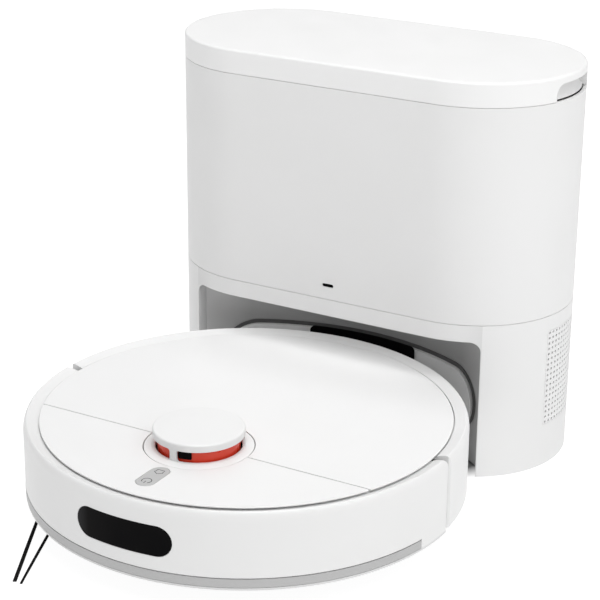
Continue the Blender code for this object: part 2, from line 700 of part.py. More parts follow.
# --- Robot: dust path, fan, battery and board ---
def make_dust_box():
    wall = 0.002
    (x0, y0, z0), (x1, y1, z1) = DUST_BOX_LOW, DUST_BOX_HIGH
    bin_body = box("dust_box", DUST_BOX_LOW, DUST_BOX_HIGH, ROBOT, LOOK["clear"])
    spout_low = (-PORT_HALF_X - wall, y1 - wall / 2, PORT_LOW_Z - wall)
    spout_high = (PORT_HALF_X + wall, 0.154, PORT_HIGH_Z + wall)
    join(bin_body, box("dust_spout", spout_low, spout_high, ROBOT))
    cut(
        bin_body,
        box("dust_hollow", (x0 + wall, y0 + wall, z0 + wall), (x1 - wall, y1 - wall, z1 + wall), ROBOT),
        box(
            "spout_hollow",
            (-PORT_HALF_X, y1 - 2 * wall, PORT_LOW_Z),
            (PORT_HALF_X, 0.160, PORT_HIGH_Z),
            ROBOT,
        ),
        box("dust_inlet", (-0.030, y0 - wall, 0.025), (0.030, y0 + 2 * wall, 0.035), ROBOT),
    )
    cover = box("dust_box_lid", (x0, y0, z1 + GAP), (x1, y1, z1 + 0.003), ROBOT, LOOK["grey"])
    bevel(cover, 0.0008, 1)
    box("dust_filter", (-0.050, 0.100, 0.050), (0.050, 0.1155, 0.0635), ROBOT, LOOK["paper"])


def make_fan():
    at = (*FAN_XY, 0.0)
    housing = [
        (0.024, 0.018), (0.024, 0.046), (0.010, 0.046), (0.010, 0.044),
        (0.022, 0.044), (0.022, 0.020), (0.0045, 0.020), (0.0045, 0.018),
    ]
    turned("fan_housing", housing, ROBOT, LOOK["frame"], at=at)
    motor = [
        (0.0, 0.0204), (0.014, 0.0204), (0.014, 0.032), (0.002, 0.032), (0.002, 0.0336), (0.0, 0.0336),
    ]
    turned("fan_motor", motor, ROBOT, LOOK["steel"], at=at, steps=24)
    impeller = [
        (0.0, 0.042), (0.006, 0.041), (0.009, 0.037), (0.0195, 0.036), (0.0195, 0.0342), (0.0, 0.0342),
    ]
    turned("fan_impeller", impeller, ROBOT, LOOK["grey"], at=at, steps=28)


def make_power():
    battery = box("battery", (-0.038, -0.0905, 0.018), (0.070, -0.046, 0.050), ROBOT, LOOK["cell"])
    bevel(battery, 0.002)
    box("main_board", (-0.060, -0.111, 0.0540), (0.034, -0.046, 0.0556), ROBOT, LOOK["board"])


# --- Dock ---
def dock_prism(name, inset, low, high, look=None, steps=15):
    outline = stadium(DOCK_HALF_STRAIGHT, DOCK_R - inset, steps)
    return plate(name, [outline], low, high, DOCK, look)


def bay(name, margin, low, high):
    """The space that the robot backs into: a drum round its centre, with straight sides."""
    radius = BAY_R + margin
    profile = [(0.0, low), (radius, low), (radius, high), (0.0, high)]
    drum = turned(name, profile, DOCK, at=(0, ROBOT_CENTRE_Y, 0), steps=BIG_STEPS)
    half_x, corner_r = BAY_HALF_X + margin, BAY_CORNER_R + margin
    mouth = rounded_rectangle((-half_x, low - 2 * corner_r), (half_x, high), corner_r)
    keep(drum, plate(name + "_mouth", [mouth], -0.02, 0.10, DOCK, turn=XZ_PLANE))
    return drum


def grille_sector(name, inner_r, outer_r, margin, look=None):
    profile = [
        (inner_r, GRILLE_LOW_Z - margin), (outer_r, GRILLE_LOW_Z - margin),
        (outer_r, GRILLE_HIGH_Z + margin), (inner_r, GRILLE_HIGH_Z + margin),
    ]
    ring = turned(name, profile, DOCK, look, at=(DOCK_HALF_STRAIGHT, 0, 0), steps=BIG_STEPS)
    half = DOCK_R * math.sin(GRILLE_HALF_ANGLE) + margin
    keep(ring, box(name + "_width", (0.12, -half, 0.0), (0.2, half, 0.2), DOCK))
    return ring


def make_lower_housing():
    base_z = FOOT_HEIGHT + GAP
    top_z = LOWER_SEAM_Z - SEAM_GAP
    housing = dock_prism("dock_lower_housing", 0.0, base_z, top_z, LOOK["shell"])
    hollow = dock_prism("lower_hollow", DOCK_WALL, base_z + DOCK_WALL, top_z + 0.01)
    cut(hollow, bay("bay_wall", DOCK_WALL, -0.01, BAY_ROOF_Z + DOCK_WALL))
    cut(housing, hollow, bay("bay_space", 0.0, -0.01, BAY_ROOF_Z))
    duct_hole = box("bay_duct_hole", (-0.0185, -0.040, 0.0305), (0.0185, 0.0, 0.0455), DOCK)
    inlet_hole = box("inlet_hole", (-0.0805, 0.070, 0.0145), (-0.0595, 0.095, 0.0355), DOCK)
    cut(housing, duct_hole, inlet_hole, grille_sector("grille_hole", 0.070, 0.095, GAP))
    grille_sector("exhaust_grille", 0.0829, DOCK_R - 0.0001, 0.0, LOOK["shell"])


def make_upper_housing():
    low, high = LOWER_SEAM_Z + SEAM_GAP, LID_SEAM_Z - SEAM_GAP
    housing = dock_prism("dock_upper_housing", 0.0, low, high, LOOK["shell"])
    cut(
        housing,
        dock_prism("upper_hollow", DOCK_WALL, low + DOCK_WALL, high + 0.01),
        rod("duct_floor_hole", 0.0175, (0, DUCT_Y, low - 0.01), (0, DUCT_Y, low + 0.01), DOCK),
        plate("led_hole", [led_outline(GAP)], 0.080, 0.090, DOCK, turn=XZ_PLANE),
    )
    plate("status_led", [led_outline(0.0)], 0.0830, DOCK_R - 0.0001, DOCK, LOOK["black"], turn=XZ_PLANE)


def led_outline(margin):
    return [(x, z + 0.1495) for x, z in stadium(0.0038, 0.00125 + margin, 6)]


def grip_scoop(name, sign, margin, low):
    """The hollow in one end of the lid that fingers reach into: deep at the top, shallow below."""
    top, foot = GRIP_TOP_Z + margin, GRIP_FOOT_Z
    shallow_r, deep_r = DOCK_R - GRIP_SHALLOW - margin, DOCK_R - GRIP_DEEP - margin
    profile = [(0.1, low), (0.1, top), (deep_r, top), (shallow_r, foot)]
    if low < foot:
        profile.append((shallow_r, low))
    scoop = turned(name, profile, DOCK, at=(sign * DOCK_HALF_STRAIGHT, 0, 0), steps=BIG_STEPS)
    half_y = GRIP_HALF_Y + margin
    end_x = sorted((sign * 0.12, sign * 0.2))
    keep(scoop, box(name + "_width", (end_x[0], -half_y, 0.3), (end_x[1], half_y, 0.35), DOCK))
    return scoop


def make_dock_lid():
    low = LID_SEAM_Z + SEAM_GAP
    lid = dock_prism("dock_lid", 0.0, low, DOCK_HEIGHT, LOOK["shell"])
    hollow = dock_prism("lid_hollow", DOCK_WALL, low - 0.01, DOCK_HEIGHT - DOCK_WALL)
    for side, sign in (("left", -1), ("right", 1)):
        cut(hollow, grip_scoop(side + "_grip_wall", sign, GRIP_WALL, GRIP_FOOT_Z))
        cut(lid, grip_scoop(side + "_grip", sign, 0.0, low - 0.01))
    cut(lid, hollow)


def around_robot(name, inner_r, outer_r, low, high, look=None):
    return ring_section(name, inner_r, outer_r, low, high, DOCK, look, at=(0, ROBOT_CENTRE_Y, 0))


def make_docking_panel():
    panel = around_robot("docking_panel", PANEL_INNER_R, PANEL_OUTER_R, 0.025, 0.083, LOOK["shell"])
    face = rounded_rectangle((-0.120, 0.028), (0.120, 0.0795), 0.024, 5)
    keep(panel, plate("panel_outline", [face], -0.02, 0.10, DOCK, turn=XZ_PLANE))
    cut(panel, box("panel_duct_hole", (-0.0185, -0.040, 0.0305), (0.0185, 0.0, 0.0455), DOCK))
    for side, sign in (("left", -1), ("right", 1)):
        x = sign * CONTACT_X
        boss = box(side + "_boss", (x - 0.008, -0.0450, 0.030), (x + 0.008, -0.0230, 0.046), DOCK)
        bore = rod(side + "_bore", 0.0026, (x, -0.046, 0.038), (x, -0.036, 0.038), DOCK, steps=16)
        join(panel, boss)
        cut(panel, bore)
        face_low, face_high = (x - 0.005, -0.0484, 0.033), (x + 0.005, -0.0473, 0.043)
        pad = box("dock_contact_" + side, face_low, face_high, DOCK, LOOK["brass"])
        join(pad, rod(side + "_stem", 0.002, (x, -0.0476, 0.038), (x, -0.0390, 0.038), DOCK, steps=16))
    window_r = (PANEL_INNER_R - 0.0020, PANEL_INNER_R - 0.0003)
    window = around_robot("ir_window", *window_r, 0.050, 0.082, LOOK["black"])
    shape = rounded_rectangle((-0.051, 0.050), (0.051, 0.082), 0.003, 3)
    keep(window, plate("ir_shape", [shape], -0.02, 0.10, DOCK, turn=XZ_PLANE))
    outer = rounded_rectangle((-0.0235, 0.0255), (0.0235, 0.0495), 0.004, 3)
    inner = rounded_rectangle((-0.0180, 0.0310), (0.0180, 0.0440), 0.002, 3)
    plate("suction_gasket", [outer, inner], 0.0173, 0.0392, DOCK, LOOK["rubber"], turn=XZ_PLANE)


def make_dock_inside():
    bend = [(0.0, DUCT_Y - 0.020 + y, 0.0385 + 0.020 + z) for y, z in arc((0, 0), 0.020, -90, 0, 6)]
    route = [(0.0, -0.0070, 0.0385)] + bend + [(0.0, DUCT_Y, 0.1780)]
    pipe("suction_duct", route, 0.0160, 0.002, DOCK, LOOK["grey"])
    bag = box("dust_bag", (-0.072, -0.060, 0.1830), (0.072, 0.060, 0.3020), DOCK, LOOK["bag"])
    bevel(bag, 0.014, 3)
    collar = rod("bag_collar", 0.024, (0, DUCT_Y, 0.1785), (0, DUCT_Y, 0.1900), DOCK)
    join(bag, collar)
    motor_xy = (0.100, 0.032)
    can = [(0.0, 0.030), (0.030, 0.030), (0.037, 0.040), (0.037, 0.095), (0.026, 0.110), (0.0, 0.110)]
    turned("suction_motor", can, DOCK, LOOK["steel"], at=(*motor_xy, 0.0))
    box("power_board", (-0.135, 0.040, 0.015), (-0.060, 0.0416, 0.105), DOCK, LOOK["board"])
    inlet = box("power_inlet", (-0.080, 0.064, 0.015), (-0.060, 0.0856, 0.035), DOCK, LOOK["frame"])
    socket = rounded_rectangle((-0.0765, 0.0200), (-0.0635, 0.0300), 0.004, 3)
    cut(inlet, plate("inlet_socket", [socket], -0.095, -0.072, DOCK, turn=XZ_PLANE))


def make_foot():
    foot = dock_prism("anti_slip_foot", 0.006, 0.0, FOOT_HEIGHT, LOOK["rubber"])
    cut(foot, bay("foot_bay", 0.006, -0.01, 0.03))


clear_scene()
PARTS = new_collection("robot_vacuum_and_dock")
CUTTERS = new_collection("cutters")
LOOK = make_looks()
DOCK = empty("dock_frame", (0, 0, 0))
ROBOT = empty("robot_frame", (0, ROBOT_CENTRE_Y, 0))

make_chassis()
make_mid_frame()
make_rear_shell()
make_bumper()
make_top()
make_turret()
make_lidar()
for side_name, side_sign in (("left", -1), ("right", 1)):
    make_drive_wheel(side_name, side_sign)
    make_wheel_arm(side_name, side_sign)
make_caster()
make_main_brush()
make_side_brush()
make_dust_box()
make_fan()
make_power()
make_lower_housing()
make_upper_housing()
make_dock_lid()
make_docking_panel()
make_dock_inside()
make_foot()
bpy.context.view_layer.update()
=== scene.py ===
"""Looks for the robot vacuum and its dust-emptying dock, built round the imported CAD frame.

Metres, +Z up, -Y the front. The world origin is on the floor under the middle of the dock.
The robot's pieces are written in coordinates from the robot's own centre.
"""

import math
import random

import bmesh
import bpy
from mathutils import Matrix, Vector


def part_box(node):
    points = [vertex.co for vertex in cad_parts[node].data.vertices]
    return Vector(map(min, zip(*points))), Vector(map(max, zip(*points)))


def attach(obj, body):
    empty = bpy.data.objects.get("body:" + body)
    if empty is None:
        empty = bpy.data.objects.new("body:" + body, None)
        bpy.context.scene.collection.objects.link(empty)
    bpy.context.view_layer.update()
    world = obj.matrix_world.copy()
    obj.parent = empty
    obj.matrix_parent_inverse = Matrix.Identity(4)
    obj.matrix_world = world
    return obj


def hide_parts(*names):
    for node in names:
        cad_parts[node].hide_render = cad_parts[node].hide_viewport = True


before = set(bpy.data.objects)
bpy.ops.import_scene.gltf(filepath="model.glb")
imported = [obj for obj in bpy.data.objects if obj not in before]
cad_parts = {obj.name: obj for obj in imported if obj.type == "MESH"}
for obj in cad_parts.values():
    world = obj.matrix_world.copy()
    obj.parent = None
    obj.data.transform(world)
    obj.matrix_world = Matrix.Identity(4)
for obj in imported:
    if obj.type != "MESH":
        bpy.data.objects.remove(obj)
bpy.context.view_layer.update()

# --- Fineness ---
ROUND = 192
MEDIUM = 96
SMALL = 32
SHARP_DEGREES = 34


def middle(node):
    low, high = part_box(node)
    return (low + high) / 2


# --- Places and sizes read from the CAD frame ---
ROBOT = Vector((middle("chassis").x, middle("chassis").y, 0.0))
ROBOT_R = (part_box("rear_shell")[1].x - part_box("rear_shell")[0].x) / 2
RIM_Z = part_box("front_bumper")[1].z
SKIRT_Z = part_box("front_bumper")[0].z
DECK_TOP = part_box("front_deck")[1].z
DECK_R = (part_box("rear_lid")[1].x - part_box("rear_lid")[0].x) / 2
SEAM_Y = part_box("rear_lid")[0].y - ROBOT.y
TURRET = Vector((middle("turret_ring").x, middle("turret_ring").y, 0.0))
KEY = Vector((middle("key_rocker").x, middle("key_rocker").y, 0.0))
KEY_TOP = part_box("key_rocker")[1].z
SIDE_BRUSH = Vector((middle("side_brush_hub").x, middle("side_brush_hub").y, 0.0))
DOCK_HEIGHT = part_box("dock_lid")[1].z
DOCK_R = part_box("dock_upper_housing")[1].y
DOCK_STRAIGHT = 0.0915
LOWER_LOW, LOWER_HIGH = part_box("dock_lower_housing")[0].z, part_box("dock_lower_housing")[1].z
UPPER_LOW, UPPER_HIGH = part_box("dock_upper_housing")[0].z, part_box("dock_upper_housing")[1].z
COVER_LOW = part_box("dock_lid")[0].z
DOCK_WALL = 0.003
BAY_R, BAY_HALF_X, BAY_CORNER, BAY_ROOF = 0.2045, 0.1352, 0.009, 0.1225
PANEL_INNER, PANEL_OUTER = 0.1995, 0.2041
SEAM_TRIM = 0.00026
CONTACT_X, CONTACT_Z = 0.060, 0.038
DUCT_Y = middle("suction_duct").y + 0.0197
PORT_LOW, PORT_HIGH, PORT_CORNER = (-0.0185, 0.0305), (0.0185, 0.0455), 0.002
FAR = 0.2  # past every side of the robot, for cutters
THROUGH_DECK = (0.07, 0.09)  # from below to above the robot's top, for cutters


# --- Meshes ---
def new_piece(name, verts, faces, at=(0, 0, 0)):
    mesh = bpy.data.meshes.new(name)
    mesh.from_pydata([tuple(v) for v in verts], [], faces)
    bm = bmesh.new()
    bm.from_mesh(mesh)
    bmesh.ops.remove_doubles(bm, verts=bm.verts, dist=1e-7)
    bmesh.ops.dissolve_degenerate(bm, dist=1e-7, edges=bm.edges)
    bmesh.ops.recalc_face_normals(bm, faces=bm.faces)
    bm.to_mesh(mesh)
    bm.free()
    obj = bpy.data.objects.new(name, mesh)
    bpy.context.scene.collection.objects.link(obj)
    obj.location = at
    return obj


def rounded(corners, steps=4):
    """A closed outline of (x, y, radius) corners, with arcs where the radius isn't 0."""
    points = []
    for i, (x, y, radius) in enumerate(corners):
        here = Vector((x, y))
        if radius == 0:
            points.append((x, y))
            continue
        back = (Vector(corners[i - 1][:2]) - here).normalized()
        ahead = (Vector(corners[(i + 1) % len(corners)][:2]) - here).normalized()
        half = back.angle(ahead) / 2
        centre = here + (back + ahead).normalized() * (radius / math.sin(half))
        first = here + back * (radius / math.tan(half)) - centre
        last = here + ahead * (radius / math.tan(half)) - centre
        start = math.atan2(first.y, first.x)
        sweep = math.remainder(math.atan2(last.y, last.x) - start, 2 * math.pi)
        for k in range(steps + 1):
            angle = start + sweep * k / steps
            points.append((centre.x + radius * math.cos(angle), centre.y + radius * math.sin(angle)))
    return points


def lathe(name, profile, at=(0, 0, 0), steps=ROUND, axis="Z", span=(0, 360)):
    """A closed (radius, height) profile turned round an axis, all the way or part of it."""
    start, end = (math.radians(a) for a in span)
    whole = span[1] - span[0] >= 360
    columns = steps if whole else steps + 1
    verts = []
    for i in range(columns):
        angle = start + (end - start) * i / steps
        for radius, height in profile:
            u, v = radius * math.cos(angle), radius * math.sin(angle)
            verts.append((height, u, v) if axis == "X" else (u, v, height))
    count, faces = len(profile), []
    for i in range(steps):
        a, b = i * count, ((i + 1) % columns) * count
        faces += [(a + k, a + (k + 1) % count, b + (k + 1) % count, b + k) for k in range(count)]
    if not whole:
        faces += [tuple(range(count)), tuple(range(len(verts) - count, len(verts)))]
    return new_piece(name, verts, faces, at)


def band(name, radii, heights, at=(0, 0, 0), steps=ROUND, axis="Z", span=(0, 360)):
    """A plain rectangle turned round an axis."""
    (inner, outer), (low, high) = radii, heights
    return lathe(name, [(inner, low), (outer, low), (outer, high), (inner, high)], at, steps, axis, span)


def on_axis(axis, u, v, depth):
    return {"Z": (u, v, depth), "Y": (u, depth, v), "X": (depth, u, v)}[axis]


def skin(name, rings, at=(0, 0, 0), closed=False):
    """Faces between rings of points, with both ends capped or joined to each other."""
    count, verts, faces = len(rings[0]), [p for ring in rings for p in ring], []
    for i in range(len(rings) if closed else len(rings) - 1):
        a, b = i * count, ((i + 1) % len(rings)) * count
        faces += [(a + k, a + (k + 1) % count, b + (k + 1) % count, b + k) for k in range(count)]
    if not closed:
        faces += [tuple(range(count)), tuple(range(len(verts) - count, len(verts)))]
    return new_piece(name, verts, faces, at)


def slab(name, outline, low, high, edge=0.0, axis="Z", at=(0, 0, 0), steps=3):
    """An outline, given as a function of its inset, made thick, with both rims rounded."""
    rings = []
    for end, sign in ((low, 1), (high, -1)):
        turns = [math.pi / 2 * k / steps for k in range(steps + 1)] if edge else [math.pi / 2]
        levels = [(edge * (1 - math.sin(a)), end + sign * edge * (1 - math.cos(a))) for a in turns]
        for inset, depth in levels if sign > 0 else levels[::-1]:
            rings.append([on_axis(axis, u, v, depth) for u, v in outline(inset)])
    return skin(name, rings, at)


def bar(name, points, low, high, axis="Z", at=(0, 0, 0)):
    return skin(name, [[on_axis(axis, u, v, d) for u, v in points] for d in (low, high)], at)


def block(name, low, high, at=(0, 0, 0)):
    (x0, y0, z0), (x1, y1, z1) = low, high
    return bar(name, [(x0, y0), (x1, y0), (x1, y1), (x0, y1)], z0, z1, at=at)


def collar(name, outline, section, axis="Z", at=(0, 0, 0)):
    """A closed (inset, depth) section carried round an outline."""
    rings = [[on_axis(axis, u, v, depth) for u, v in outline(inset)] for inset, depth in section]
    return skin(name, rings, at, closed=True)


def rim(name, outline, level, sunk, proud, width, at=(0, 0, 0)):
    """A low rectangular bead that follows an outline on a flat top."""
    low, high = level - sunk, level + proud
    return collar(name, outline, [(0.0, low), (0.0, high), (width, high), (width, low)], at=at)


def wrap(name, rows, inner, outer, columns=16, at=(0, 0, 0)):
    """A curved patch round the Z axis, from rows of (height, first angle, last angle)."""
    verts, faces, width = [], [], columns + 1
    for radius in (outer, inner):
        for height, first, last in rows:
            for c in range(width):
                angle = math.radians(first + (last - first) * c / columns)
                verts.append((radius * math.cos(angle), radius * math.sin(angle), height))
    total = len(rows) * width
    for r in range(len(rows) - 1):
        for c in range(columns):
            a = r * width + c
            faces.append((a, a + 1, a + 1 + width, a + width))
            faces.append(tuple(total + k for k in (a, a + width, a + 1 + width, a + 1)))
    edge = [c for c in range(width)] + [r * width + columns for r in range(1, len(rows))]
    edge += [(len(rows) - 1) * width + c for c in reversed(range(columns))]
    edge += [r * width for r in reversed(range(1, len(rows) - 1))]
    for k, a in enumerate(edge):
        b = edge[(k + 1) % len(edge)]
        faces.append((a, b, total + b, total + a))
    return new_piece(name, verts, faces, at)


def rounded_rows(low, high, corner, radius, first, last, count=12):
    """Rows for wrap, whose two ends have rounded corners."""
    rows = []
    for k in range(count + 1):
        height = low + (high - low) * k / count
        reach = min(height - low, high - height, corner)
        back = corner - math.sqrt(max(corner**2 - (corner - reach) ** 2, 0.0))
        lean = math.degrees(back / radius)
        rows.append((height, first + lean, last - lean))
    return rows


def tube(name, path, radii, sides=10, at=(0, 0, 0)):
    """A round bar along a path. The radius may change from point to point."""
    path = [Vector(p) for p in path]
    radii = radii if isinstance(radii, (list, tuple)) else [radii] * len(path)
    along = (path[1] - path[0]).normalized()
    side = along.orthogonal().normalized()
    rings = []
    for i, point in enumerate(path):
        ahead = (path[min(i + 1, len(path) - 1)] - path[max(i - 1, 0)]).normalized()
        side = (side - ahead * side.dot(ahead)).normalized()
        up = ahead.cross(side)
        rings.append([
            point + (side * math.cos(a) + up * math.sin(a)) * radii[i]
            for a in (2 * math.pi * k / sides for k in range(sides))
        ])
    return skin(name, rings, at)


def merge(name, objects):
    """Several meshes as one piece at the origin of the first."""
    at = objects[0].location.copy()
    bm = bmesh.new()
    for obj in objects:
        mesh = obj.data.copy()
        mesh.transform(Matrix.Translation(-at) @ obj.matrix_basis)
        bm.from_mesh(mesh)
    merged = bpy.data.meshes.new(name)
    bm.to_mesh(merged)
    bm.free()
    result = bpy.data.objects.new(name, merged)
    bpy.context.scene.collection.objects.link(result)
    result.location = at
    for obj in objects:
        bpy.data.objects.remove(obj)
    return result


def shape(target, operation, *tools):
    """Cuts with or meets other meshes, which are then gone."""
    for tool in tools:
        step = target.modifiers.new(tool.name, "BOOLEAN")
        step.operation, step.solver, step.object = operation, "EXACT", tool
    bpy.context.view_layer.update()
    graph = bpy.context.evaluated_depsgraph_get()
    target_mesh = bpy.data.meshes.new_from_object(target.evaluated_get(graph))
    target.modifiers.clear()
    target.data = target_mesh
    for tool in tools:
        bpy.data.objects.remove(tool)
    return target


def cut(target, *tools):
    return shape(target, "DIFFERENCE", *tools)


def meet(target, *tools):
    return shape(target, "INTERSECT", *tools)


def wear(obj, look, body, slot, *nodes):
    """Gives a finished piece its material and its body, and hides the CAD nodes it stands for. The slot is
    not used.
    """
    mesh = obj.data
    mesh.materials.clear()
    mesh.materials.append(look)
    mesh.shade_smooth()
    mesh.set_sharp_from_angle(angle=math.radians(SHARP_DEGREES))
    weighted = obj.modifiers.new("Even shading", "WEIGHTED_NORMAL")
    weighted.keep_sharp = True
    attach(obj, body)
    if nodes:
        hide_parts(*nodes)
    return obj


# --- Outlines ---
def arc(centre, radius, start, end, steps):
    angles = [math.radians(start + (end - start) * k / steps) for k in range(steps + 1)]
    return [(centre[0] + radius * math.cos(a), centre[1] + radius * math.sin(a)) for a in angles]


def stadium(half, radius, steps=48, centre=(0, 0)):
    """A function of the inset that gives a long round-ended outline."""
    cx, cy = centre
    return lambda inset: arc((cx + half, cy), radius - inset, -90, 90, steps) + arc(
        (cx - half, cy), radius - inset, 90, 270, steps
    )


def upright(half, radius, steps=24):
    return lambda inset: [(-v, u) for u, v in stadium(half, radius, steps)(inset)]


def rectangle(low, high, radius, steps=8):
    """A function of the inset that gives a rounded rectangle."""
    def outline(inset):
        r = max(radius - inset, 0.00005)
        x0, y0, x1, y1 = low[0] + inset, low[1] + inset, high[0] - inset, high[1] - inset
        return (
            arc((x1 - r, y1 - r), r, 0, 90, steps) + arc((x0 + r, y1 - r), r, 90, 180, steps)
            + arc((x0 + r, y0 + r), r, 180, 270, steps) + arc((x1 - r, y0 + r), r, 270, 360, steps)
        )
    return outline


def disc(radius, steps=SMALL, centre=(0, 0)):
    return lambda inset: arc(centre, radius - inset, 0, 360 * (steps - 1) / steps, steps - 1)


def hull_outline(first, first_r, second, second_r, steps=24):
    """A function of the inset that gives a belt laid round two circles."""
    dx, dy = second[0] - first[0], second[1] - first[1]
    heading = math.degrees(math.atan2(dy, dx))
    lean = math.degrees(math.acos((first_r - second_r) / math.hypot(dx, dy)))
    return lambda inset: arc(first, first_r - inset, heading + lean, heading + 360 - lean, steps) + arc(
        second, second_r - inset, heading - lean, heading + lean, steps
    )


# --- Materials ---
class Look:
    """A procedural material: nodes are added to it, and it ends in one Principled shader."""

    def __init__(self, name, roughness, metallic=0.0, **sockets):
        self.material = bpy.data.materials.new(name)
        self.material.use_nodes = True
        self.tree = self.material.node_tree
        self.shader = self.tree.nodes["Principled BSDF"]
        self.shader.inputs["Roughness"].default_value = roughness
        self.shader.inputs["Metallic"].default_value = metallic
        for socket, value in sockets.items():
            self.shader.inputs[socket.replace("_", " ")].default_value = value
        self.where = self.tree.nodes.new("ShaderNodeTexCoord").outputs["Object"]

    def add(self, kind, inputs=(), **settings):
        node = self.tree.nodes.new(kind)
        for key, value in settings.items():
            setattr(node, key, value)
        for key, value in dict(inputs).items():
            if isinstance(value, bpy.types.NodeSocket):
                self.tree.links.new(value, node.inputs[key])
            else:
                node.inputs[key].default_value = value
        return node

    def along(self, axis):
        return self.add("ShaderNodeSeparateXYZ", {"Vector": self.where}).outputs[axis]

    def stretched(self, scale):
        return self.add("ShaderNodeMapping", {"Vector": self.where, "Scale": scale}).outputs["Vector"]

    def noise(self, scale, detail=3.0, vector=None, roughness=0.5):
        inputs = {"Vector": vector or self.where, "Scale": scale, "Detail": detail, "Roughness": roughness}
        return self.add("ShaderNodeTexNoise", inputs).outputs["Fac"]

    def span(self, value, low, high, start=0.3, end=0.7):
        inputs = {"Value": value, "From Min": start, "From Max": end, "To Min": low, "To Max": high}
        return self.add("ShaderNodeMapRange", inputs).outputs["Result"]

    def blend(self, share, first, second):
        node = self.add("ShaderNodeMix", data_type="RGBA")
        self.tree.links.new(share, node.inputs[0])
        for socket, value in ((6, first), (7, second)):
            if isinstance(value, bpy.types.NodeSocket):
                self.tree.links.new(value, node.inputs[socket])
            else:
                node.inputs[socket].default_value = (*value, 1.0)
        return node.outputs[2]

    def math(self, operation, first, second=0.5):
        node = self.add("ShaderNodeMath", operation=operation)
        for socket, value in enumerate((first, second)):
            if isinstance(value, bpy.types.NodeSocket):
                self.tree.links.new(value, node.inputs[socket])
            else:
                node.inputs[socket].default_value = value
        return node.outputs[0]

    def colour(self, socket):
        self.tree.links.new(socket, self.shader.inputs["Base Color"])

    def rough(self, socket):
        self.tree.links.new(socket, self.shader.inputs["Roughness"])

    def bump(self, height, strength, distance, base=None):
        inputs = {"Height": height, "Strength": strength, "Distance": distance}
        if base is not None:
            inputs["Normal"] = base
        normal = self.add("ShaderNodeBump", inputs).outputs["Normal"]
        self.tree.links.new(normal, self.shader.inputs["Normal"])
        return normal


def moulded(
    name, colour, shade, roughness, spread, grain=2600, depth=0.00004, strength=0.25, edge=0.0,
    lip=None, bay=False,
):
    """Moulded plastic: a fine spark-eroded grain, slow colour drift and uneven gloss.

    It can have painted shade that darkens its lower lip, or painted shade that greys it towards the back of
    the dock's bay.
    """
    look = Look(name, roughness)
    drift = look.span(look.noise(7, 4), 0, 1)
    specks = look.span(look.noise(420, 2), 0, 0.35, 0.55, 0.75)
    tone = look.blend(look.math("MAXIMUM", drift, specks), colour, shade)
    if lip:
        # Painted shade: below this height the colour is 15 % darker, for the lesser light on the lower lip.
        share = look.span(look.along("Z"), 0, 1, lip, lip + 0.0012)
        tone = look.blend(share, tuple(0.85 * c for c in colour), tone)
    if bay:
        # Painted shade: inside the bay the colour greys towards the back, where less light reaches.
        x, y = look.along("X"), look.along("Y")
        between = look.math("LESS_THAN", look.math("ABSOLUTE", x), BAY_HALF_X + 0.0007)
        inside = look.math("MULTIPLY", between, look.math("LESS_THAN", y, 0.0))
        share = look.math("MULTIPLY", inside, look.span(y, 0, 1, -0.082, -0.038))
        tone = look.blend(share, tone, (0.34, 0.34, 0.34))
    look.colour(tone)
    look.rough(look.span(look.noise(38, 5), roughness - spread, roughness + spread))
    base = look.add("ShaderNodeBevel", {"Radius": edge}, samples=4).outputs["Normal"] if edge else None
    look.bump(look.noise(grain, 2), strength, depth, base)
    return look.material


def rubber(name, colour, shade):
    look = Look(name, 0.78)
    look.colour(look.blend(look.span(look.noise(60, 6), 0, 1), colour, shade))
    look.rough(look.span(look.noise(300, 4), 0.66, 0.9))
    look.bump(look.noise(1500, 4), 0.5, 0.00012)
    return look.material


def brushed(name, colour, shade, roughness, along):
    """Metal with fine scratches drawn out along one direction."""
    look = Look(name, roughness, metallic=1.0)
    lines = look.noise(1.0, 4, look.stretched(along))
    look.colour(look.blend(look.span(lines, 0, 1), colour, shade))
    look.rough(look.span(lines, roughness - 0.1, roughness + 0.12))
    look.bump(lines, 0.2, 0.00003)
    return look.material


def gloss_black(name, roughness, painted_reflection_x=None):
    """Infrared-passing acrylic: almost black, polished, with faint random haze; given an x, a painted
    reflection lightens it to the left of that x.
    """
    look = Look(name, roughness, Specular_IOR_Level=0.03)
    tone = look.blend(look.span(look.noise(25, 3), 0, 1), (0.0025, 0.0025, 0.003), (0.005, 0.0045, 0.0045))
    if painted_reflection_x is not None:
        # Painted reflection: left of this x the acrylic is lighter, standing in for a light reflected in the
        # window's left end.
        share = look.span(look.along("X"), 1, 0, painted_reflection_x - 0.020, painted_reflection_x)
        tone = look.blend(share, tone, (0.045, 0.045, 0.047))
    look.colour(tone)
    look.rough(look.span(look.noise(90, 6), roughness * 0.7, roughness * 1.6))
    look.bump(look.noise(45, 1), 0.05, 0.0002)
    return look.material


def fleece(name):
    """Pressed non-woven cloth: crossing fibres, small dimples and a soft sheen."""
    look = Look(name, 0.95, Sheen_Weight=0.35)
    fibres = look.noise(1.0, 5, look.stretched((900, 260, 900)), 0.65)
    cross = look.noise(1.0, 5, look.stretched((260, 900, 500)), 0.65)
    dimples = look.add(
        "ShaderNodeTexVoronoi", {"Vector": look.where, "Scale": 330.0}, feature="SMOOTH_F1"
    ).outputs["Distance"]
    mixed = look.math("ADD", look.math("MAXIMUM", fibres, cross), dimples)
    # The colour follows the fibres and dimples: the fibres' own tone, and painted shade that darkens each
    # dimple.
    look.colour(look.blend(look.span(mixed, 0, 1, 0.6, 1.5), (0.60, 0.60, 0.58), (0.82, 0.82, 0.80)))
    look.bump(mixed, 0.6, 0.0004)
    return look.material


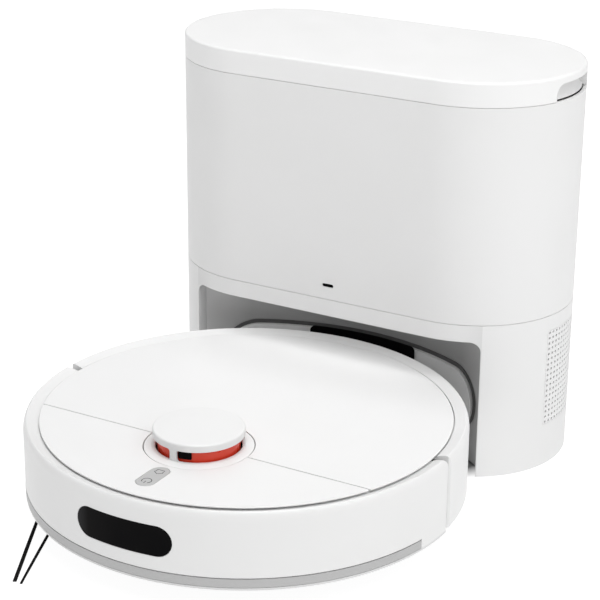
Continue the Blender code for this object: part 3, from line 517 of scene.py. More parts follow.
def board(name):
    """A green circuit board with copper tracks under its lacquer."""
    look = Look(name, 0.35, Coat_Weight=0.3)
    cells = look.add(
        "ShaderNodeTexVoronoi", {"Vector": look.stretched((180, 180, 180)), "Scale": 1.0},
        feature="F1", distance="CHEBYCHEV",
    ).outputs["Distance"]
    tracks = look.math("LESS_THAN", look.math("PINGPONG", cells, 0.12), 0.03)
    look.colour(look.blend(tracks, (0.012, 0.09, 0.035), (0.03, 0.2, 0.07)))
    look.bump(tracks, 0.3, 0.00005)
    return look.material


def pleated(name):
    """Filter paper in narrow folds, with painted shade that darkens each fold's hollow."""
    look = Look(name, 0.92)
    folds = look.add(
        "ShaderNodeTexWave", {"Vector": look.where, "Scale": 95.0, "Distortion": 0.3},
        bands_direction="X",
    ).outputs["Fac"]
    look.colour(look.blend(folds, (0.5, 0.48, 0.43), (0.8, 0.79, 0.74)))
    look.bump(folds, 0.9, 0.001)
    return look.material


def smoky(name):
    look = Look(name, 0.18, Transmission_Weight=0.55, IOR=1.5)
    look.colour(look.blend(look.span(look.noise(30, 4), 0, 1), (0.10, 0.10, 0.11), (0.17, 0.17, 0.18)))
    look.rough(look.span(look.noise(120, 5), 0.10, 0.28))
    look.bump(look.noise(800, 2), 0.1, 0.00003)
    return look.material


def bristle_look(name):
    look = Look(name, 0.5, Specular_IOR_Level=0.15)
    strands = look.noise(1.0, 3, look.stretched((1400, 1400, 120)))
    look.colour(look.blend(look.span(strands, 0, 1), (0.002, 0.002, 0.002), (0.010, 0.010, 0.010)))
    look.rough(look.span(strands, 0.35, 0.7))
    return look.material


SHELL_TONES = (0.80, 0.80, 0.80), (0.775, 0.775, 0.772)
DOCK_TONES = (0.79, 0.79, 0.79), (0.765, 0.765, 0.763)
WHITE = moulded("White_shell", *SHELL_TONES, 0.40, 0.05, edge=0.0006)
# The bumper's white, with painted shade on its lower lip.
WHITE_BUMPER_SHADED_LIP = moulded("White_bumper_shaded_lip", *SHELL_TONES, 0.40, 0.05, edge=0.0006, lip=0.0268)
WHITE_DECK = moulded("White_deck", (0.82, 0.82, 0.82), (0.80, 0.80, 0.798), 0.36, 0.04, edge=0.0004)
# The dock lid's white is the same plastic made lighter: painted light that brightens its top.
WHITE_LID_PAINTED_LIGHT = moulded("White_lid_painted_light", (0.85, 0.85, 0.85), (0.83, 0.83, 0.828), 0.44, 0.05, edge=0.0006)
WHITE_DOCK = moulded("White_dock", *DOCK_TONES, 0.46, 0.05, edge=0.0007)
# The dock base's white, with painted shade greying the bay towards its back.
WHITE_BASE_BAY_SHADE = moulded("White_base_bay_shade", *DOCK_TONES, 0.46, 0.05, edge=0.0007, bay=True)
# A dark grey for the strip round the docking panel: painted shade.
PANEL_EDGE_SHADE = moulded("Panel_edge_shade", (0.10, 0.10, 0.10), (0.08, 0.08, 0.08), 0.7, 0.06)
TRIM = moulded("Grey_trim", (0.48, 0.48, 0.48), (0.45, 0.45, 0.45), 0.45, 0.06, edge=0.0004)
KEY_GREY = moulded("Key_grey", (0.50, 0.50, 0.50), (0.46, 0.46, 0.46), 0.42, 0.05)
MARK_GREY = moulded("Mark_grey", (0.05, 0.05, 0.05), (0.04, 0.04, 0.04), 0.5, 0.05)
DARK = moulded("Dark_frame", (0.035, 0.035, 0.038), (0.05, 0.05, 0.052), 0.58, 0.08, 1700, 0.00008, 0.5)
GREY = moulded("Inner_grey", (0.22, 0.22, 0.23), (0.27, 0.27, 0.28), 0.5, 0.07, 1900, 0.00006, 0.4)
RED = moulded("Rotor_red", (0.86, 0.060, 0.024), (0.76, 0.050, 0.020), 0.28, 0.06, 1800, 0.00003, 0.2)
GLOSS = gloss_black("Black_gloss", 0.08)
# The sensor window has a painted reflection at its left end.
WINDOW = gloss_black("Black_window", 0.08, painted_reflection_x=-0.030)
SATIN_BLACK = moulded("Satin_black", (0.012, 0.012, 0.013), (0.02, 0.02, 0.021), 0.35, 0.06)
RUBBER = rubber("Black_rubber", (0.018, 0.018, 0.018), (0.032, 0.031, 0.03))
TYRE = rubber("Tyre_rubber", (0.03, 0.03, 0.03), (0.05, 0.048, 0.046))
STEEL = brushed("Steel", (0.58, 0.58, 0.59), (0.45, 0.45, 0.46), 0.32, (60, 60, 2400))
CONTACT = brushed("Contact_metal", (0.72, 0.68, 0.60), (0.62, 0.57, 0.48), 0.28, (2600, 2600, 80))
BOARD = board("Circuit_board")
CELL = moulded("Battery_wrap", (0.02, 0.045, 0.13), (0.03, 0.06, 0.16), 0.38, 0.08, 300, 0.0002, 0.3)
PAPER = pleated("Filter_paper")
FLEECE = fleece("Bag_fleece")
CARD = moulded("Bag_card", (0.62, 0.60, 0.55), (0.70, 0.68, 0.63), 0.85, 0.05, 900, 0.0001, 0.5)
BRISTLE = bristle_look("Bristle")
SMOKY = smoky("Smoky_plastic")


# --- Robot: bumper and rear wall ---
WALL_INNER = 0.1724
SHOULDER_Z = 0.0795
RIM_CREST_R = 0.1715
BUMPER_END = 0.0015
SHELL_START = 0.0055
REAR_SKIRT_Z = 0.0270
STRIP_LOW, STRIP_HEIGHT = 0.0275, 0.0068


def wall_section(inner_r, inner_z, skirt_z, ledge_r):
    """The side wall with its rolled shoulder, the rim that slopes in, and its ledge under the deck."""
    wide, tall = ROBOT_R - RIM_CREST_R, RIM_Z - SHOULDER_Z
    shoulder = [
        (RIM_CREST_R + wide * math.cos(a), SHOULDER_Z + tall * math.sin(a), 0)
        for a in (math.radians(90 * k / 14) for k in range(15))
    ]
    inside = [
        (inner_r + 0.0003, inner_z, 0.0003), (inner_r, 0.0820, 0), (ledge_r, 0.0820, 0.0002),
        (ledge_r, 0.0812, 0.0002), (0.1665, 0.0812, 0.002), (WALL_INNER, 0.0785, 0.002),
    ]
    return rounded([(WALL_INNER, skirt_z, 0.0004), (ROBOT_R, skirt_z, 0.0007)] + shoulder + inside)


def rounded_end(name, y, direction, radius):
    """A cutter that rounds the top corner of a wall that ends at y."""
    top, centre = RIM_Z + 0.001, (y - direction * radius, RIM_Z - radius)
    curve = arc(centre, radius, 0 if direction > 0 else 180, 90, 12)
    past = y + direction * 0.002
    return bar(name, curve + [(centre[0], top), (past, top), (past, centre[1])], -FAR, FAR, "X", ROBOT)


def window_outline(margin):
    return stadium(0.0289, 0.012 + margin, 24, (0, 0.0585))(0)


def make_bumper():
    bumper = lathe("bumper_wall", wall_section(0.1620, 0.0826, SKIRT_Z, 0.1557), ROBOT)
    groove = band("groove", (0.1734, 0.1770), (0.0272, 0.0350), ROBOT, ROUND, span=(-169.0, -11.0))
    cut(
        bumper,
        block("behind", (-FAR, BUMPER_END, 0.0), (FAR, FAR, 0.1), ROBOT),
        rounded_end("end", BUMPER_END, 1, 0.006),
        groove,
        bar("window_hole", window_outline(0.00025), -0.19, -0.15, "Y", ROBOT),
    )
    wear(bumper, WHITE_BUMPER_SHADED_LIP, "bumper", "white_shell", "front_bumper")
    pane = band("sensor_pane", (0.1728, 0.1749), (0.040, 0.077), ROBOT, ROUND * 2)
    meet(pane, bar("pane_shape", window_outline(0.0), -0.19, -0.15, "Y", ROBOT))
    wear(pane, WINDOW, "bumper", "black_gloss", "bumper_window")
    rows = rounded_rows(STRIP_LOW, STRIP_LOW + STRIP_HEIGHT, 0.0015, ROBOT_R, -168.9, -11.1)
    strip = wrap("lower_band", rows, 0.1738, 0.17485, 150, ROBOT)
    wear(strip, TRIM, "bumper", "grey_trim", "bumper_strip")


def contact_pad(name, sign, margin):
    x0, x1 = sorted((sign * (0.055 - margin), sign * (0.065 + margin)))
    outline = rectangle((x0, 0.032 - margin), (x1, 0.044 + margin), 0.0012, 4)
    return bar(name, outline(0), 0.15, 0.18, "Y", ROBOT)


def make_rear_wall():
    wall = lathe("rear_wall", wall_section(0.1630, 0.0846, REAR_SKIRT_Z, 0.1605), ROBOT)
    half, low, high = 0.019, 0.032, 0.045
    bevel = [(0.1725, 0.0050), (0.1770, 0.0050), (0.1770, 0.0100)]
    cut(
        wall,
        block("before", (-FAR, -FAR, 0.0), (FAR, SHELL_START, 0.1), ROBOT),
        rounded_end("start", SHELL_START, -1, 0.0008),
        *(bar("bevel", [(sign * x, y) for x, y in bevel], 0.0, 0.1, at=ROBOT) for sign in (-1, 1)),
        contact_pad("left_pad_hole", -1, 0.0003),
        contact_pad("right_pad_hole", 1, 0.0003),
        bar("mouth", rectangle((-half - 0.003, low - 0.003), (half + 0.003, high + 0.003), 0.003)(0),
            0.15, 0.19, "Y", ROBOT),
    )
    sleeve_section = [(0.0, 0.1557), (0.0, 0.1752 - 0.0015), (0.0018, 0.1752 - 0.0015), (0.0018, 0.1557)]
    sleeve = collar(
        "sleeve", rectangle((-half - 0.0048, low - 0.0048), (half + 0.0048, high + 0.0048), 0.0045),
        sleeve_section, "Y", ROBOT,
    )
    overlaps, tall = [], (0.027, 0.078)
    for flange_span, root_span in (((-2.7, 2.1), (2.1, 4.7)), ((177.9, 182.7), (175.3, 177.9))):
        overlaps.append(band("flange", (0.1696, 0.1717), tall, ROBOT, 8, span=flange_span))
        overlaps.append(band("root", (0.1696, 0.1726), tall, ROBOT, 6, span=root_span))
    wall = merge("rear_wall_body", [wall, sleeve] + overlaps)
    wear(wall, WHITE, "robot", "white_shell", "rear_shell")
    for side, sign in (("left", -1), ("right", 1)):
        pad = band(side + "_charge_pad", (0.1733, 0.1749), (0.030, 0.046), ROBOT, ROUND * 2)
        meet(pad, contact_pad("pad_shape", sign, 0.0))
        wear(pad, CONTACT, "robot", "contact_metal", "charge_contact_" + side)


# --- Robot: top ---
def top_plate(name):
    section = rounded([
        (0.0, DECK_TOP, 0), (DECK_R - 0.001, DECK_TOP, 0), (DECK_R, DECK_TOP, 0.0004),
        (DECK_R, DECK_TOP - 0.001, 0.0002), (DECK_R - 0.0035, DECK_TOP - 0.0027, 0.0003),
        (0.0, DECK_TOP - 0.0027, 0),
    ])
    return lathe(name, section, ROBOT, ROUND * 2)


def make_top():
    seam = SEAM_Y - 0.0008
    corner_x = math.sqrt(DECK_R**2 - seam**2)
    below, above = THROUGH_DECK
    turret_hole = disc(0.0427, MEDIUM)(0)
    deck = cut(
        top_plate("deck_plate"),
        block("behind_seam", (-FAR, seam, below), (FAR, FAR, above), ROBOT),
        bar("turret_hole", turret_hole, *THROUGH_DECK, at=TURRET),
        bar("key_hole", upright(0.009, 0.0078, 24)(0), *THROUGH_DECK, at=KEY),
        *(bar("corner", disc(0.0012, SMALL, (x, seam))(0), *THROUGH_DECK, at=ROBOT)
          for x in (0.0003 - corner_x, corner_x - 0.0003)),
    )
    wear(deck, WHITE_DECK, "robot", "white_shell", "front_deck")
    lid = cut(
        top_plate("lid_plate"),
        block("ahead_of_seam", (-FAR, -FAR, below), (FAR, SEAM_Y, above), ROBOT),
        bar("turret_hole", turret_hole, *THROUGH_DECK, at=TURRET),
    )
    ribs = []
    for k in range(-3, 4):
        x = 0.035 * k
        reach = math.sqrt(0.150**2 - x * x)
        start = max(SEAM_Y + 0.012, -0.02) if abs(x) < 0.05 else SEAM_Y + 0.012
        ribs.append(block("rib", (x - 0.0007, start, 0.0803), (x + 0.0007, reach - 0.02, 0.0828), ROBOT))
    lid = merge("lid_panel", [lid] + ribs)
    wear(lid, WHITE_DECK, "robot_lid", "white_shell", "rear_lid")


def make_key():
    plate = slab("key_plate", upright(0.009, 0.0075, 24), 0.0822, KEY_TOP, 0.0005, at=KEY)
    wear(plate, KEY_GREY, "key", "grey_trim", "key_rocker")
    level, width = KEY_TOP - 0.00003, 0.00038
    house = [(-0.0029, 0.0114), (0.0029, 0.0114), (0.0030, 0.0084), (0.0036, 0.0075), (0.0, 0.0049),
             (-0.0036, 0.0075), (-0.0030, 0.0084), (-0.0029, 0.0114)]
    ring = arc((0.0, -0.0080), 0.0037, -52, 232, 36)
    stem = [(0.0, -0.0121), (0.0, -0.0092)]
    strokes = []
    for points in (house, ring, stem):
        path = [(x, y, 0.0) for x, y in points]
        stroke = tube("stroke", path, width, 8)
        stroke.data.transform(Matrix.Diagonal((1.0, 1.0, 0.35, 1.0)))
        stroke.location = (KEY.x, KEY.y, level)
        strokes.append(stroke)
    marks = merge("key_marks", strokes)
    wear(marks, MARK_GREY, "key", "grey_trim")


# --- Robot: turret ---
LENS_R = 0.0325


def make_turret():
    ring = rounded([
        (0.042, 0.0828, 0), (0.042, 0.0850, 0.0003), (0.0362, 0.0863, 0.0012), (0.0332, 0.0863, 0.0003),
        (0.0332, 0.0828, 0),
    ])
    wear(lathe("turret_base_ring", ring, TURRET), WHITE, "robot", "white_shell", "turret_ring")
    low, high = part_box("turret_cap")
    top, radius = high.z, (high.x - low.x) / 2
    cap_section = rounded([
        (0.0, top, 0), (radius - 0.0018, top, 0), (radius, top, 0.0014), (radius, 0.0950, 0.0004),
        (0.0329, 0.0950, 0.0003), (0.0327, 0.0985, 0.0003), (0.0, 0.0985, 0),
    ])
    cap = lathe("turret_top", cap_section, TURRET)
    pillars = []
    for heading in (-91.0, 29.0, 149.0):
        rows = []
        for k in range(13):
            height = 0.0864 + 0.0092 * k / 12
            flare = 0.0018 * (1 - math.sin(math.acos(max(0.0, min(1.0, (height - 0.0932) / 0.0018)))))
            foot = 0.0012 * (1 - math.sin(math.acos(max(0.0, min(1.0, (0.0878 - height) / 0.0012)))))
            half = math.degrees((0.003 + flare + foot) / radius)
            rows.append((height, heading - half, heading + half))
        pillars.append(wrap("pillar", rows, 0.0331, radius - 0.0001, 12, TURRET))
    cap = merge("turret_cover", [cap] + pillars)
    wear(cap, WHITE, "robot", "white_shell", "turret_cap")


def make_rotor():
    drum = rounded([
        (0.016, 0.0762, 0), (0.0281, 0.0762, 0.0003), (0.0281, 0.0806, 0), (0.0315, 0.0806, 0.0004),
        (0.0315, 0.0942, 0.0003), (0.0295, 0.0942, 0.0003), (0.0295, 0.083, 0), (0.016, 0.083, 0),
    ])
    wear(lathe("laser_drum", drum, TURRET), RED, "lidar_rotor", "rotor_red", "lidar_rotor")
    lens = middle("lidar_window") - TURRET
    heading = math.degrees(math.atan2(lens.y, lens.x))
    half = math.degrees(0.0053 / LENS_R)
    rows = rounded_rows(0.0880, 0.0941, 0.0009, LENS_R, heading - half, heading + half)
    lens_piece = wrap("laser_lens", rows, 0.0318, LENS_R, 16, TURRET)
    wear(lens_piece, GLOSS, "lidar_rotor", "black_gloss", "lidar_window")


# --- Robot: running gear ---
def make_tyre(side):
    low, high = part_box(side + "_tyre")
    hub, radius, half = (low + high) / 2, (high.z - low.z) / 2, (high.x - low.x) / 2
    section = rounded([
        (0.0273, -half, 0.0003), (radius - 0.0035, -half, 0.001), (radius - 0.0015, -half + 0.003, 0.002),
        (radius - 0.0015, half - 0.003, 0.002), (radius - 0.0035, half, 0.001), (0.0273, half, 0.0003),
    ])
    pieces = [lathe("carcass", section, hub, MEDIUM, axis="X")]
    lugs = 30
    for k in range(lugs):
        for sign in (-1, 1):
            inner, outer = sorted((sign * 0.0006, sign * (half - 0.0012)))
            turn = 360 / lugs * (k + (0.25 if sign > 0 else 0.0))
            rows = []
            for j in range(5):
                across = inner + (outer - inner) * j / 4
                lean = turn + 190 * abs(across)
                rows.append((across, lean - 3.1, lean + 3.1))
            lug = wrap("lug", rows, radius - 0.0022, radius - 0.0001, 4)
            lug.data.transform(Matrix.Rotation(math.pi / 2, 4, "Y"))
            lug.location = hub
            pieces.append(lug)
    wear(merge(side + "_tread", pieces), TYRE, side + "_wheel", "tyre_rubber", side + "_tyre")


def make_caster():
    low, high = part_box("caster_wheel")
    hub, radius = (low + high) / 2, (high.z - low.z) / 2
    section = rounded([
        (0.0, 0.0096, 0), (0.0019, 0.0096, 0.0003), (0.0019, 0.0067, 0), (0.0095, 0.0060, 0.0004),
        (0.0112, 0.0066, 0.0006), (radius, 0.0052, 0.0012), (radius, 0.0006, 0.0002),
        (radius - 0.0006, 0.0, 0.0003), (radius, -0.0006, 0.0002), (radius, -0.0052, 0.0012),
        (0.0112, -0.0066, 0.0006), (0.0095, -0.0060, 0.0004), (0.0019, -0.0067, 0),
        (0.0019, -0.0096, 0.0003), (0.0, -0.0096, 0),
    ])
    wheel = lathe("front_roller", section, hub, MEDIUM, axis="X")
    wear(wheel, RUBBER, "caster_wheel", "black_rubber", "caster_wheel")


def make_main_brush():
    low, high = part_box("main_brush")
    hub, radius, half = (low + high) / 2, (high.z - low.z) / 2, 0.080
    core = lathe("core", rounded([
        (0.0, high.x, 0), (0.003, high.x, 0.0004), (0.003, half, 0), (0.0095, half, 0.001),
        (0.0085, 0.0, 0.02), (0.0095, -half, 0.001), (0.003, -half, 0), (0.003, -high.x, 0.0004),
        (0.0, -high.x, 0),
    ]), hub, MEDIUM, axis="X")
    pieces = [core]
    for blade in range(6):
        steps, rings = 32, []
        for k in range(steps + 1):
            x = -half + 2 * half * k / steps
            turn = math.radians(60 * blade + 420 * abs(x))
            out = Vector((0.0, math.cos(turn), math.sin(turn)))
            side = Vector((0.0, -math.sin(turn), math.cos(turn)))
            tip = radius - 0.0003
            ring = []
            for reach, width in ((0.008, 0.0014), (tip - 0.001, 0.0007), (tip, 0.0005)):
                ring.append(Vector((x, 0, 0)) + out * reach + side * width)
            for reach, width in ((tip, 0.0005), (tip - 0.001, 0.0007), (0.008, 0.0014)):
                ring.append(Vector((x, 0, 0)) + out * reach - side * width)
            rings.append(ring)
        pieces.append(skin("fin", rings, hub))
    wear(merge("sweeping_roller", pieces), BRISTLE, "main_brush", "bristle", "main_brush")


def tuft(rng, root, tip, spread, hairs, thick):
    """Hairs from a root towards a tip on the floor, slightly fanned and uneven."""
    made = []
    root, tip = Vector(root), Vector(tip)
    along = tip - root
    side = Vector((-along.y, along.x, 0.0)).normalized()
    for _ in range(hairs):
        shift = rng.uniform(-1, 1)
        start = root + side * shift * spread * 0.9 + Vector((0, 0, rng.uniform(-0.0006, 0.0006)))
        end = root + along * rng.uniform(0.985, 1.0) + side * (shift * spread + rng.gauss(0, spread * 0.10))
        end.z = max(end.z, thick)
        bow = Vector((0, 0, rng.uniform(0.0, 0.0006))) + side * rng.gauss(0, spread * 0.05)
        path = [start.lerp(end, t) + bow * math.sin(math.pi * t) for t in (0, 0.25, 0.5, 0.75, 1)]
        made.append(tube("hair", path, [thick, thick, thick, thick, thick * 0.6], 5))
    return made


def make_side_brush():
    hub = lathe("sweeper_hub", rounded([
        (0.0, 0.0282, 0), (0.0025, 0.0282, 0.0004), (0.0025, 0.0126, 0.0006), (0.0098, 0.0126, 0.0010),
        (0.0109, 0.0112, 0.0006), (0.0109, 0.0082, 0.0006), (0.0070, 0.0062, 0.0008),
        (0.0032, 0.0062, 0.0003), (0.0028, 0.0070, 0.0003), (0.0, 0.0070, 0),
    ]), SIDE_BRUSH, MEDIUM)
    wear(hub, DARK, "side_brush", "dark_frame", "side_brush_hub")
    rng = random.Random(11)
    ring = lathe("sweeper_ring", rounded([
        (0.0113, 0.0082, 0.0003), (0.0138, 0.0082, 0.0005),
        (0.0138, 0.0112, 0.0005), (0.0113, 0.0112, 0.0003),
    ]), SIDE_BRUSH, MEDIUM)
    tip_z = 0.0003
    tufts = [
        ((-0.0128, -0.0128, 0.0092), (0.0225, -0.0890, tip_z), 0.0013, 130),
        ((0.0036, -0.0134, 0.0096), (0.0287, -0.0893, tip_z), 0.0009, 50),
        ((-0.0042, 0.0132, 0.0096), (-0.0277, 0.0845, tip_z), 0.0016, 80),
    ]
    hairs, sockets = [], []
    for root, tip, spread, count in tufts:
        hairs += tuft(rng, root, tip, spread, count, 0.00014)
        base, away = Vector(root), (Vector(tip) - Vector(root)).normalized()
        start = Vector((root[0], root[1], 0.0)).normalized() * 0.0125 + Vector((0, 0, 0.0096))
        path = [start, base, base + away * 0.006]
        sockets.append(tube("socket", path, [0.0016, 0.0017, 0.0012], 14, SIDE_BRUSH))
    for hair in hairs:
        hair.location = SIDE_BRUSH
    wear(merge("sweeper_hairs", [ring] + hairs), BRISTLE, "side_brush", "bristle", "side_brush_bristles")
    wear(merge("sweeper_sockets", sockets), DARK, "side_brush", "dark_frame")


# --- Robot: what shows under the raised lid ---
def screw(name, x, y, top, radius=0.0026):
    reach, foot = radius * 0.6, top - 0.0014
    profile = [
        (0.0, top, 0), (reach, top, 0), (radius, top - 0.0006, 0.0004), (radius, foot, 0), (0.0, foot, 0),
    ]
    head = lathe(name, rounded(profile), (x, y, 0), SMALL)
    for turn in (0, 90):
        slot_cut = block("slot", (-reach, -0.0003, top - 0.0007), (reach, 0.0003, top + 0.001))
        slot_cut.data.transform(Matrix.Rotation(math.radians(turn + 20), 4, "Z"))
        slot_cut.location = (x, y, 0)
        cut(head, slot_cut)
    return head


def make_mid_deck():
    low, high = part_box("mid_frame")
    radius = (high.x - low.x) / 2
    lidar = hull_outline((0, 0), 0.041, (0.046, -0.0185), 0.013, 32)(0)
    plate = slab("mid_plate", disc(radius, ROUND), low.z, high.z, 0.0005, at=ROBOT)
    cut(
        plate,
        bar("lidar_well", lidar, *THROUGH_DECK, at=TURRET),
        bar("dust_well", rectangle((-0.061, 0.013), (0.061, 0.124), 0.006)(0), *THROUGH_DECK, at=ROBOT),
    )
    well = rectangle((-0.0645, 0.0095), (0.0645, 0.1275), 0.0095)
    extras = [
        rim("well_rim", well, high.z, 0.0005, 0.0016, 0.0014, ROBOT),
        rim("outer_rim", disc(0.1555, ROUND), high.z, 0.0005, 0.0012, 0.0012, ROBOT),
    ]
    for sign in (-1, 1):
        for k in range(5):
            y = -0.045 + 0.036 * k
            reach = math.sqrt(0.1535**2 - y * y)
            x0, x1 = sorted((sign * 0.068, sign * reach))
            corners = (x0, y - 0.0006, high.z - 0.0005), (x1, y + 0.0006, high.z + 0.0014)
            extras.append(block("rib", *corners, ROBOT))
    wear(merge("mid_deck", [plate] + extras), DARK, "robot", "dark_frame", "mid_frame")
    screws = [
        screw("screw", ROBOT.x + 0.110 * sx, ROBOT.y + y, high.z + 0.0009)
        for sx in (-1, 1) for y in (-0.027, 0.045, 0.081)
    ]
    wear(merge("deck_screws", screws), STEEL, "robot", "steel")


def make_dust_cover():
    low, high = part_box("dust_box_lid")
    x0, y0, x1, y1 = low.x, low.y, high.x, high.y
    cover = slab("bin_cover", rectangle((x0, y0), (x1, y1), 0.004), low.z, high.z, 0.0006)
    grip = rectangle((-0.030, ROBOT.y + 0.046), (0.030, ROBOT.y + 0.066), 0.0095)
    cut(cover, bar("grip", grip(0), high.z - 0.0012, high.z + 0.001))
    edge = rectangle((x0 + 0.003, y0 + 0.003), (x1 - 0.003, y1 - 0.003), 0.004)
    rims = [
        rim("grip_rim", lambda inset: grip(inset - 0.0014), high.z, 0.0004, 0.0006, 0.0012),
        rim("edge_rim", edge, high.z, 0.0004, 0.0005, 0.001),
    ]
    handle_y, handle_z = ROBOT.y + 0.056, high.z + 0.0004
    handle = tube("handle", [(-0.026, handle_y, handle_z), (0.026, handle_y, handle_z)], 0.0021, 20)
    wear(merge("bin_lid", [cover] + rims), GREY, "robot", "inner_grey", "dust_box_lid")
    wear(handle, SATIN_BLACK, "robot", "inner_grey")
    handle.name = "bin_handle"


# --- Dock ---
def dock_outline(steps=72):
    return stadium(DOCK_STRAIGHT, DOCK_R, steps)


def dock_body(name, low, high, low_edge, high_edge):
    """A solid block in the dock's outline, with its two rims rounded."""
    outline, rings = dock_outline(), []
    for level, sign, edge in ((low, 1, low_edge), (high, -1, high_edge)):
        turns = [math.pi / 2 * k / 5 for k in range(6)]
        section = [(edge * (1 - math.sin(a)), level + sign * edge * (1 - math.cos(a))) for a in turns]
        section = [(edge + 0.002, level)] + section
        for inset, z in section if sign > 0 else section[::-1]:
            rings.append([(x, y, z) for x, y in outline(inset)])
    return skin(name, rings)


def dock_prism(name, inset, low, high):
    return bar(name, dock_outline()(inset), low, high)


def bay(name, margin, low, high):
    """The space that the robot backs into: a drum round its centre, with straight sides."""
    radius, half_x, corner = BAY_R + margin, BAY_HALF_X + margin, BAY_CORNER + margin
    drum = band(name, (0.0, radius), (low, high), ROBOT, ROUND * 2)
    mouth = rectangle((-half_x, low - 2 * corner), (half_x, high), corner, 12)(0)
    return meet(drum, bar("mouth", mouth, -0.10, 0.02, "Y"))


def duct_hole(front):
    return bar("duct_hole", rectangle(PORT_LOW, PORT_HIGH, PORT_CORNER)(0), front, 0.0, "Y")


def make_dock_base():
    shell = dock_body("base_shell", LOWER_LOW, LOWER_HIGH + SEAM_TRIM, 0.0008, 0.0003)
    hollow = dock_prism("hollow", DOCK_WALL, LOWER_LOW + DOCK_WALL, LOWER_HIGH + 0.01)
    cut(hollow, bay("bay_wall", DOCK_WALL, -0.01, BAY_ROOF + DOCK_WALL))
    low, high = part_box("exhaust_grille")
    inner_x = DOCK_STRAIGHT + math.sqrt(DOCK_R**2 - high.y**2) - 0.02
    ease = 0.0001
    grille = (inner_x, -high.y - ease, low.z - ease), (0.2, high.y + ease, high.z + ease)
    cut(
        shell, hollow, bay("bay_space", 0.0, -0.01, BAY_ROOF),
        duct_hole(-0.040),
        bar("inlet_hole", rectangle((-0.0803, 0.0147), (-0.0597, 0.0353), 0.001)(0), 0.070, 0.095, "Y"),
        block("grille_hole", *grille),
    )
    # The base's white greys towards the bay's back: painted shade.
    wear(shell, WHITE_BASE_BAY_SHADE, "dock", "white_shell", "dock_lower_housing")


def make_grille():
    low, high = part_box("exhaust_grille")
    centre = Vector((DOCK_STRAIGHT, 0.0, 0.0))
    half = math.degrees(math.asin(high.y / DOCK_R))
    plate = band("vent_plate", (DOCK_R - 0.0028, DOCK_R), (low.z, high.z), centre, 72, span=(-half, half))
    rows, columns, pitch, radius = 18, 11, 0.0047, 0.00112
    holes = []
    for r in range(rows):
        z = (low.z + high.z) / 2 + (r - (rows - 1) / 2) * pitch
        for c in range(columns):
            angle = (c - (columns - 1) / 2) * pitch / DOCK_R
            hole = band("hole", (0.0, radius), (0.080, 0.090), steps=12, axis="X")
            hole.data.transform(Matrix.Rotation(angle, 4, "Z"))
            hole.location = centre + Vector((0, 0, z))
            holes.append(hole)
    cut(plate, merge("holes", holes))
    wear(plate, WHITE_DOCK, "dock", "white_shell", "exhaust_grille")


def make_dock_body():
    shell = dock_body("body_shell", UPPER_LOW - SEAM_TRIM, UPPER_HIGH + SEAM_TRIM, 0.0003, 0.0003)
    led_low, led_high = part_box("status_led")
    slot = stadium((led_high.x - led_low.x - led_high.z + led_low.z) / 2, (led_high.z - led_low.z) / 2, 16,
                   (0, (led_low.z + led_high.z) / 2))
    cut(
        shell,
        dock_prism("hollow", DOCK_WALL, UPPER_LOW + DOCK_WALL, UPPER_HIGH + 0.01),
        bar("duct_floor_hole", disc(0.0175, MEDIUM, (0, DUCT_Y))(0), 0.12, 0.16),
        bar("led_hole", slot(-0.0002), -0.095, -0.075, "Y"),
    )
    wear(shell, WHITE_DOCK, "dock", "white_shell", "dock_upper_housing")
    lamp = slab("status_lamp", slot, -DOCK_R + 0.0002, -0.0830, 0.0002, "Y")
    wear(lamp, GLOSS, "dock", "black_gloss", "status_led")


GRIP_HALF_Y, GRIP_TOP, GRIP_FOOT = 0.031, 0.3315, 0.3184


def grip_scoop(name, sign, margin, low):
    """The hollow in one end of the lid that fingers reach into, with rounded upper corners."""
    top, shallow, deep = GRIP_TOP + margin, DOCK_R - 0.0035 - margin, DOCK_R - 0.014 - margin
    profile = [(0.1, low, 0), (0.1, top, 0), (deep, top, 0.003), (shallow, GRIP_FOOT, 0)]
    if low < GRIP_FOOT:
        profile.append((shallow, low, 0))
    turn = 0 if sign > 0 else 180
    scoop = lathe(name, rounded(profile), (sign * DOCK_STRAIGHT, 0, 0), 96, span=(turn - 30, turn + 30))
    half, corner = GRIP_HALF_Y + margin, 0.009 + margin
    outline = rounded([(-half, 0.30, 0), (half, 0.30, 0), (half, top, corner), (-half, top, corner)], 10)
    return meet(scoop, bar("outline", outline, *sorted((sign * 0.12, sign * 0.2)), "X"))


def make_dock_cover():
    cover = dock_body("cover_shell", COVER_LOW - SEAM_TRIM, DOCK_HEIGHT, 0.0003, 0.0022)
    hollow = dock_prism("hollow", DOCK_WALL, COVER_LOW - 0.01, DOCK_HEIGHT - DOCK_WALL)
    for sign in (-1, 1):
        cut(hollow, grip_scoop("grip_wall", sign, 0.002, GRIP_FOOT))
        cut(cover, grip_scoop("grip", sign, 0.0, COVER_LOW - 0.01))
    cut(cover, hollow)
    wear(cover, WHITE_LID_PAINTED_LIGHT, "dock_lid", "white_shell", "dock_lid")


def bay_patch(name, inner, outer, heights, outline):
    """The part of a ring round the parked robot that lies at the bay's back and inside an outline."""
    ring = band(name, (inner, outer), heights, ROBOT, ROUND * 2)
    return meet(ring, bar("outline", outline(0), -0.08, 0.10, "Y"))


